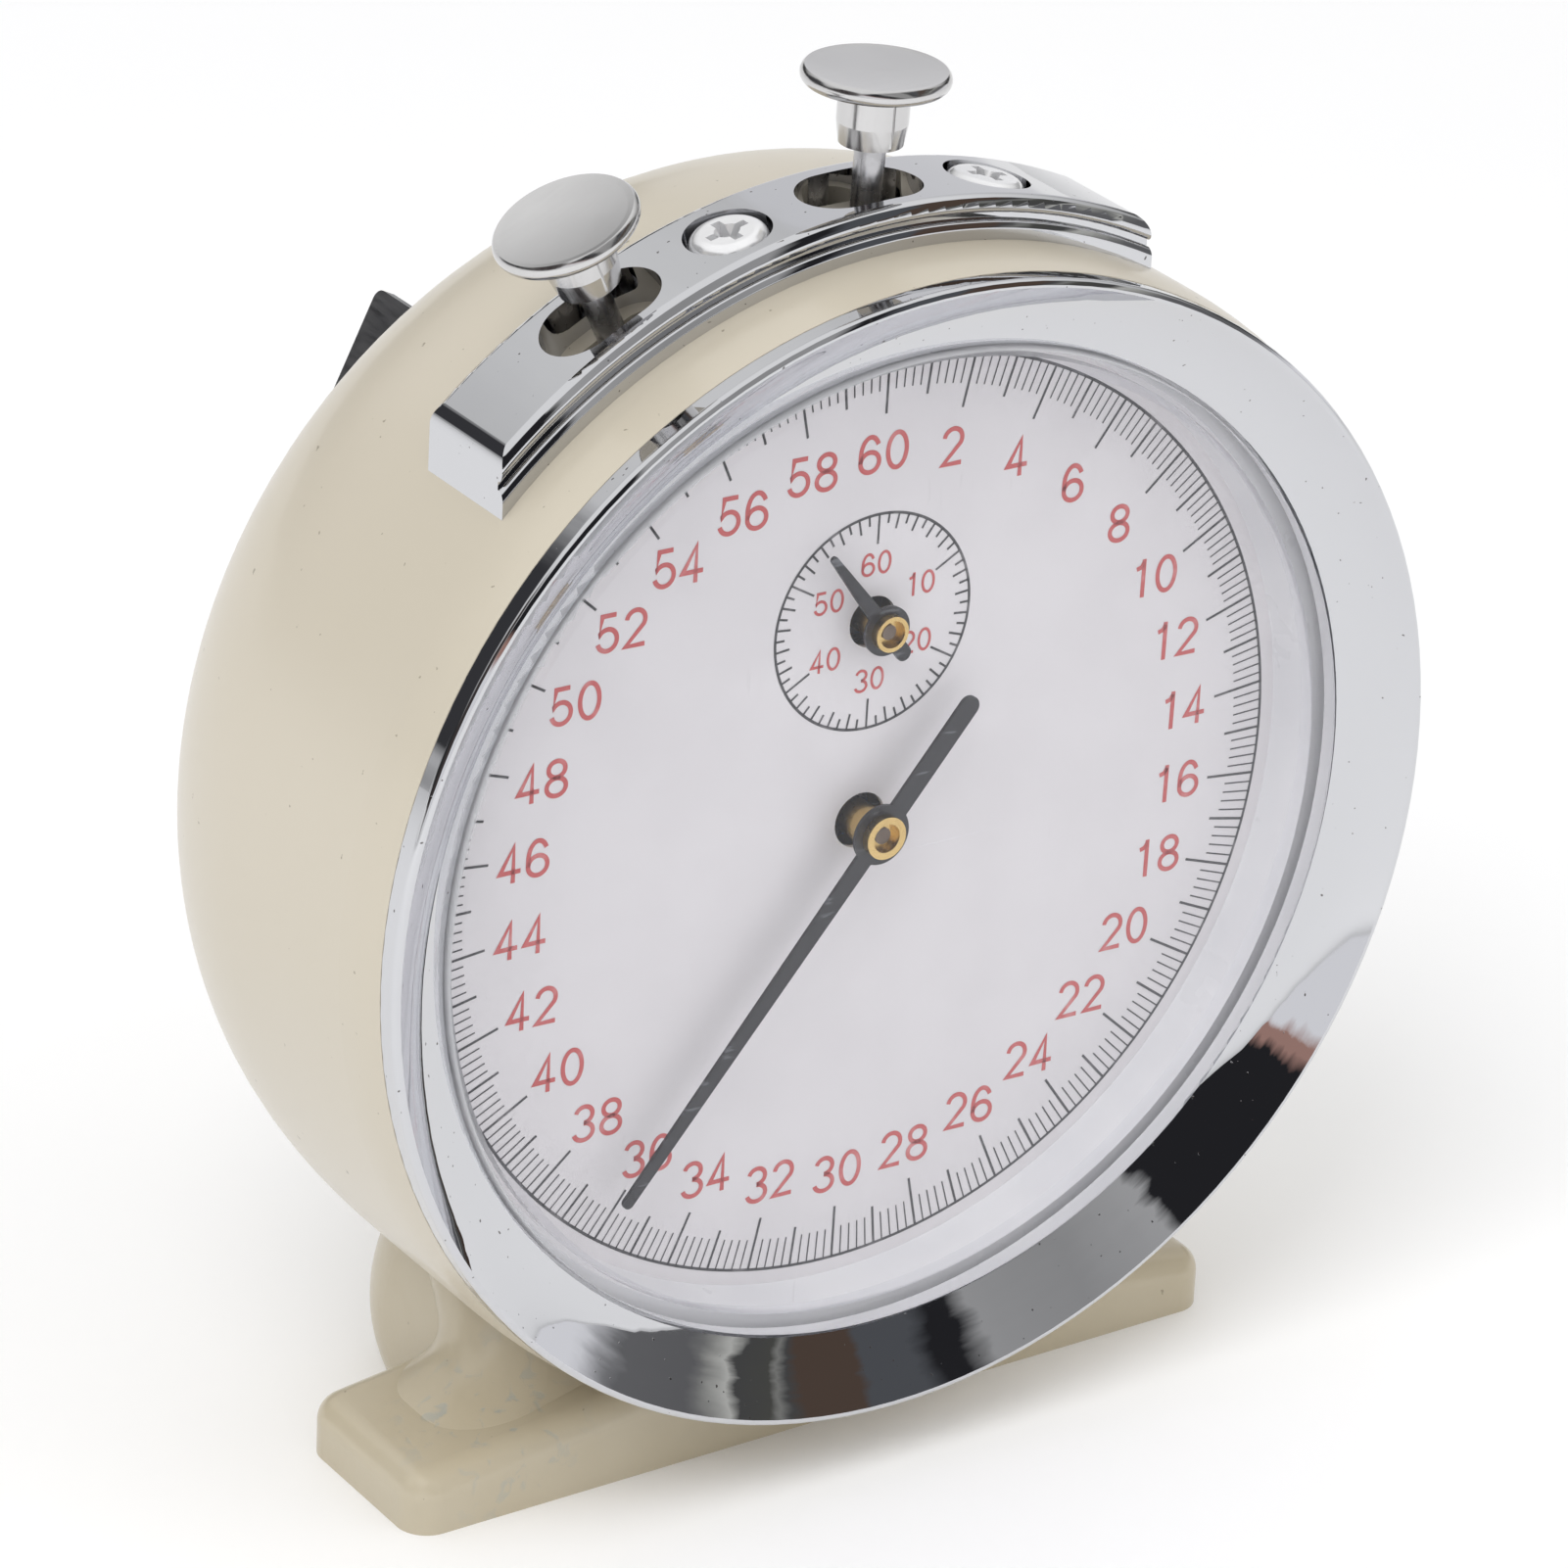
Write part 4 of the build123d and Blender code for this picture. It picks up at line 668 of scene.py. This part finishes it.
class Room:
    """The studio that the chrome mirrors, as the world's colour by direction."""

    def __init__(self):
        self.world = bpy.data.worlds.new("studio")
        bpy.context.scene.world = self.world
        self.world.use_nodes = True
        self.nodes = self.world.node_tree.nodes
        self.links = self.world.node_tree.links
        self.nodes.clear()
        self.direction = self.ragged(self.nodes.new("ShaderNodeTexCoord").outputs["Generated"])
        self.colour = self.by_height(ROOM_LEVELS)

    def vector_math(self, operation, first, second=None):
        """One sum on a vector socket and a second socket or plain vector."""
        made = self.nodes.new("ShaderNodeVectorMath")
        made.operation = operation
        self.links.new(first, made.inputs[0])
        if isinstance(second, bpy.types.NodeSocket):
            self.links.new(second, made.inputs[1])
        elif second is not None:
            made.inputs[1].default_value = second
        return made.outputs["Value" if operation == "DOT_PRODUCT" else "Vector"]

    def math(self, operation, first, second):
        """One sum on two values or sockets."""
        made = self.nodes.new("ShaderNodeMath")
        made.operation = operation
        for socket, value in zip(made.inputs, (first, second)):
            if isinstance(value, bpy.types.NodeSocket):
                self.links.new(value, socket)
            else:
                socket.default_value = value
        return made.outputs[0]

    def ragged(self, direction):
        """The direction, shaken a little so that edges in the room aren't clean."""
        noise = self.nodes.new("ShaderNodeTexNoise")
        noise.inputs["Scale"].default_value = RAGGED_SCALE
        noise.inputs["Detail"].default_value = 6.0
        self.links.new(direction, noise.inputs["Vector"])
        shake = self.vector_math("SUBTRACT", noise.outputs["Color"], (0.5, 0.5, 0.5))
        shake = self.vector_math("MULTIPLY", shake, (RAGGED_DEPTH,) * 3)
        return self.vector_math("ADD", direction, shake)

    def ramp(self, position, stops):
        """A colour by position; stops are (position, colour)."""
        made = self.nodes.new("ShaderNodeValToRGB")
        self.links.new(position, made.inputs[0])
        elements = made.color_ramp.elements
        while len(elements) < len(stops):
            elements.new(1.0)
        for element, (place, colour) in zip(elements, stops):
            element.position = place
            element.color = (*colour, 1)
        return made.outputs[0]

    def by_height(self, levels):
        """Grey by how far up a direction points."""
        split = self.nodes.new("ShaderNodeSeparateXYZ")
        self.links.new(self.direction, split.inputs[0])
        return self.ramp(split.outputs["Z"], [(height, (level,) * 3) for height, level in levels])

    def cover(self, share, colour):
        """Lays a colour over the room where share is 1."""
        mix = self.nodes.new("ShaderNodeMix")
        mix.data_type = "RGBA"
        self.links.new(share, mix.inputs[0])
        self.links.new(self.colour, mix.inputs[6])
        if isinstance(colour, bpy.types.NodeSocket):
            self.links.new(colour, mix.inputs[7])
        else:
            mix.inputs[7].default_value = (*colour, 1)
        self.colour = mix.outputs[2]

    def within(self, cosine, radius_degrees, blur_degrees):
        """1 inside a cone, 0 outside, from the cosine of the angle to the cone's axis."""
        edge = self.nodes.new("ShaderNodeMapRange")
        edge.interpolation_type = "SMOOTHSTEP"
        self.links.new(cosine, edge.inputs["Value"])
        edge.inputs["From Min"].default_value = math.cos(math.radians(radius_degrees + blur_degrees))
        edge.inputs["From Max"].default_value = math.cos(math.radians(radius_degrees))
        return edge.outputs["Result"]

    def panel(self, towards, colour, radius_degrees, blur_degrees):
        """Paints a round panel on the room's walls, seen in one direction."""
        cosine = self.vector_math("DOT_PRODUCT", self.direction, Vector(towards).normalized())
        self.cover(self.within(cosine, radius_degrees, blur_degrees), colour)

    def bezel_view(self, to_camera, stops):
        """Paints the part of the room that the bezel mirrors to the camera, by dial seconds.

        A mirror's face is square to the direction halfway between what it shows and the camera.
        """
        halfway = self.vector_math("NORMALIZE", self.vector_math("ADD", self.direction, to_camera))
        split = self.nodes.new("ShaderNodeSeparateXYZ")
        self.links.new(self.vector_math("MULTIPLY", halfway, (-1, -1, -1)), split.inputs[0])
        clock = self.math("ARCTAN2", split.outputs["X"], split.outputs["Z"])
        turns = self.math("DIVIDE", self.math("SUBTRACT", clock, DRUM_TURN), 2 * math.pi)
        colour = self.ramp(self.math("FRACT", turns, 0), [(at / 60, colour) for at, colour in stops])
        facing = self.vector_math("DOT_PRODUCT", halfway, (0, -1, 0))
        self.cover(self.within(facing, BEZEL_CONE, BEZEL_CONE_BLUR), colour)

    def finish(self, light_strength):
        """Mirrors see the painted room; everything else is lit by plain white."""
        plain = self.nodes.new("ShaderNodeBackground")
        plain.inputs["Color"].default_value = (1, 1, 1, 1)
        plain.inputs["Strength"].default_value = light_strength
        painted = self.nodes.new("ShaderNodeBackground")
        self.links.new(self.colour, painted.inputs["Color"])
        path = self.nodes.new("ShaderNodeLightPath")
        choose = self.nodes.new("ShaderNodeMixShader")
        self.links.new(path.outputs["Is Glossy Ray"], choose.inputs[0])
        self.links.new(plain.outputs[0], choose.inputs[1])
        self.links.new(painted.outputs[0], choose.inputs[2])
        out = self.nodes.new("ShaderNodeOutputWorld")
        self.links.new(choose.outputs[0], out.inputs["Surface"])


PLAIN_LIGHT = 0.80              # the world's strength for everything but mirrors


def studio(to_camera):
    """A pale room with a dark band round it and two soft lamps.

    Behind the clock it has a pale panel to the right and a dark one to the left, and a second dark
    one stands to the left, for the bezel's rim.
    """
    room = Room()
    room.bezel_view(to_camera, BEZEL_MIRRORS)
    room.panel((0.60, 0.743, 0.31), (0.78, 0.78, 0.80), radius_degrees=14, blur_degrees=4)
    room.panel((-0.60, 0.743, 0.30), (0.05, 0.05, 0.055), radius_degrees=13, blur_degrees=9)
    room.panel((-0.92, -0.15, 0.36), (0.06, 0.05, 0.05), radius_degrees=17, blur_degrees=8)
    room.finish(PLAIN_LIGHT)
    soft_light("key_light", place=(-0.9, -0.5, 1.4), size=1.0, power=12)
    soft_light("fill_light", place=(1.0, -1.0, 0.9), size=1.2, power=4)


# ------------------------------------------------------------------ camera
CAMERA_AZIMUTH = -34.88        # degrees round from straight in front of the dial, to its left
CAMERA_ELEVATION = 25.13
CAMERA_ROLL = 3.46
CAMERA_DISTANCE = 0.7297
AIM_RIGHT = 0.0076             # the picture's centre is this far right and below the dial's
AIM_DOWN = 0.0036
SENSOR_MM = 36
LENS_MM = 166.85


def camera():
    """Stands the camera in front of the dial and returns the direction from the dial to it."""
    azimuth, elevation = math.radians(-CAMERA_AZIMUTH), math.radians(CAMERA_ELEVATION)
    forward = Vector(
        (
            math.sin(azimuth) * math.cos(elevation),
            math.cos(azimuth) * math.cos(elevation),
            -math.sin(elevation),
        )
    )
    level = Vector((math.cos(azimuth), -math.sin(azimuth), 0))
    upright = level.cross(forward)
    roll = math.radians(CAMERA_ROLL)
    right = level * math.cos(roll) + upright * math.sin(roll)
    up = upright * math.cos(roll) - level * math.sin(roll)
    turn = Matrix.Rotation(DRUM_TURN, 3, "Y")
    right, up, forward = turn @ right, turn @ up, turn @ forward
    data = bpy.data.cameras.new("camera")
    data.sensor_width = SENSOR_MM
    data.lens = LENS_MM
    data.clip_start, data.clip_end = 0.01, 20
    made = bpy.data.objects.new("camera", data)
    place = DIAL_CENTRE - right * AIM_RIGHT + up * AIM_DOWN - forward * CAMERA_DISTANCE
    axes = Matrix((right, up, -forward)).transposed().to_4x4()
    made.matrix_world = Matrix.Translation(place) @ axes
    bpy.context.scene.collection.objects.link(made)
    bpy.context.scene.camera = made
    return -forward


floor()
studio(camera())
bpy.context.scene.view_settings.view_transform = "Standard"
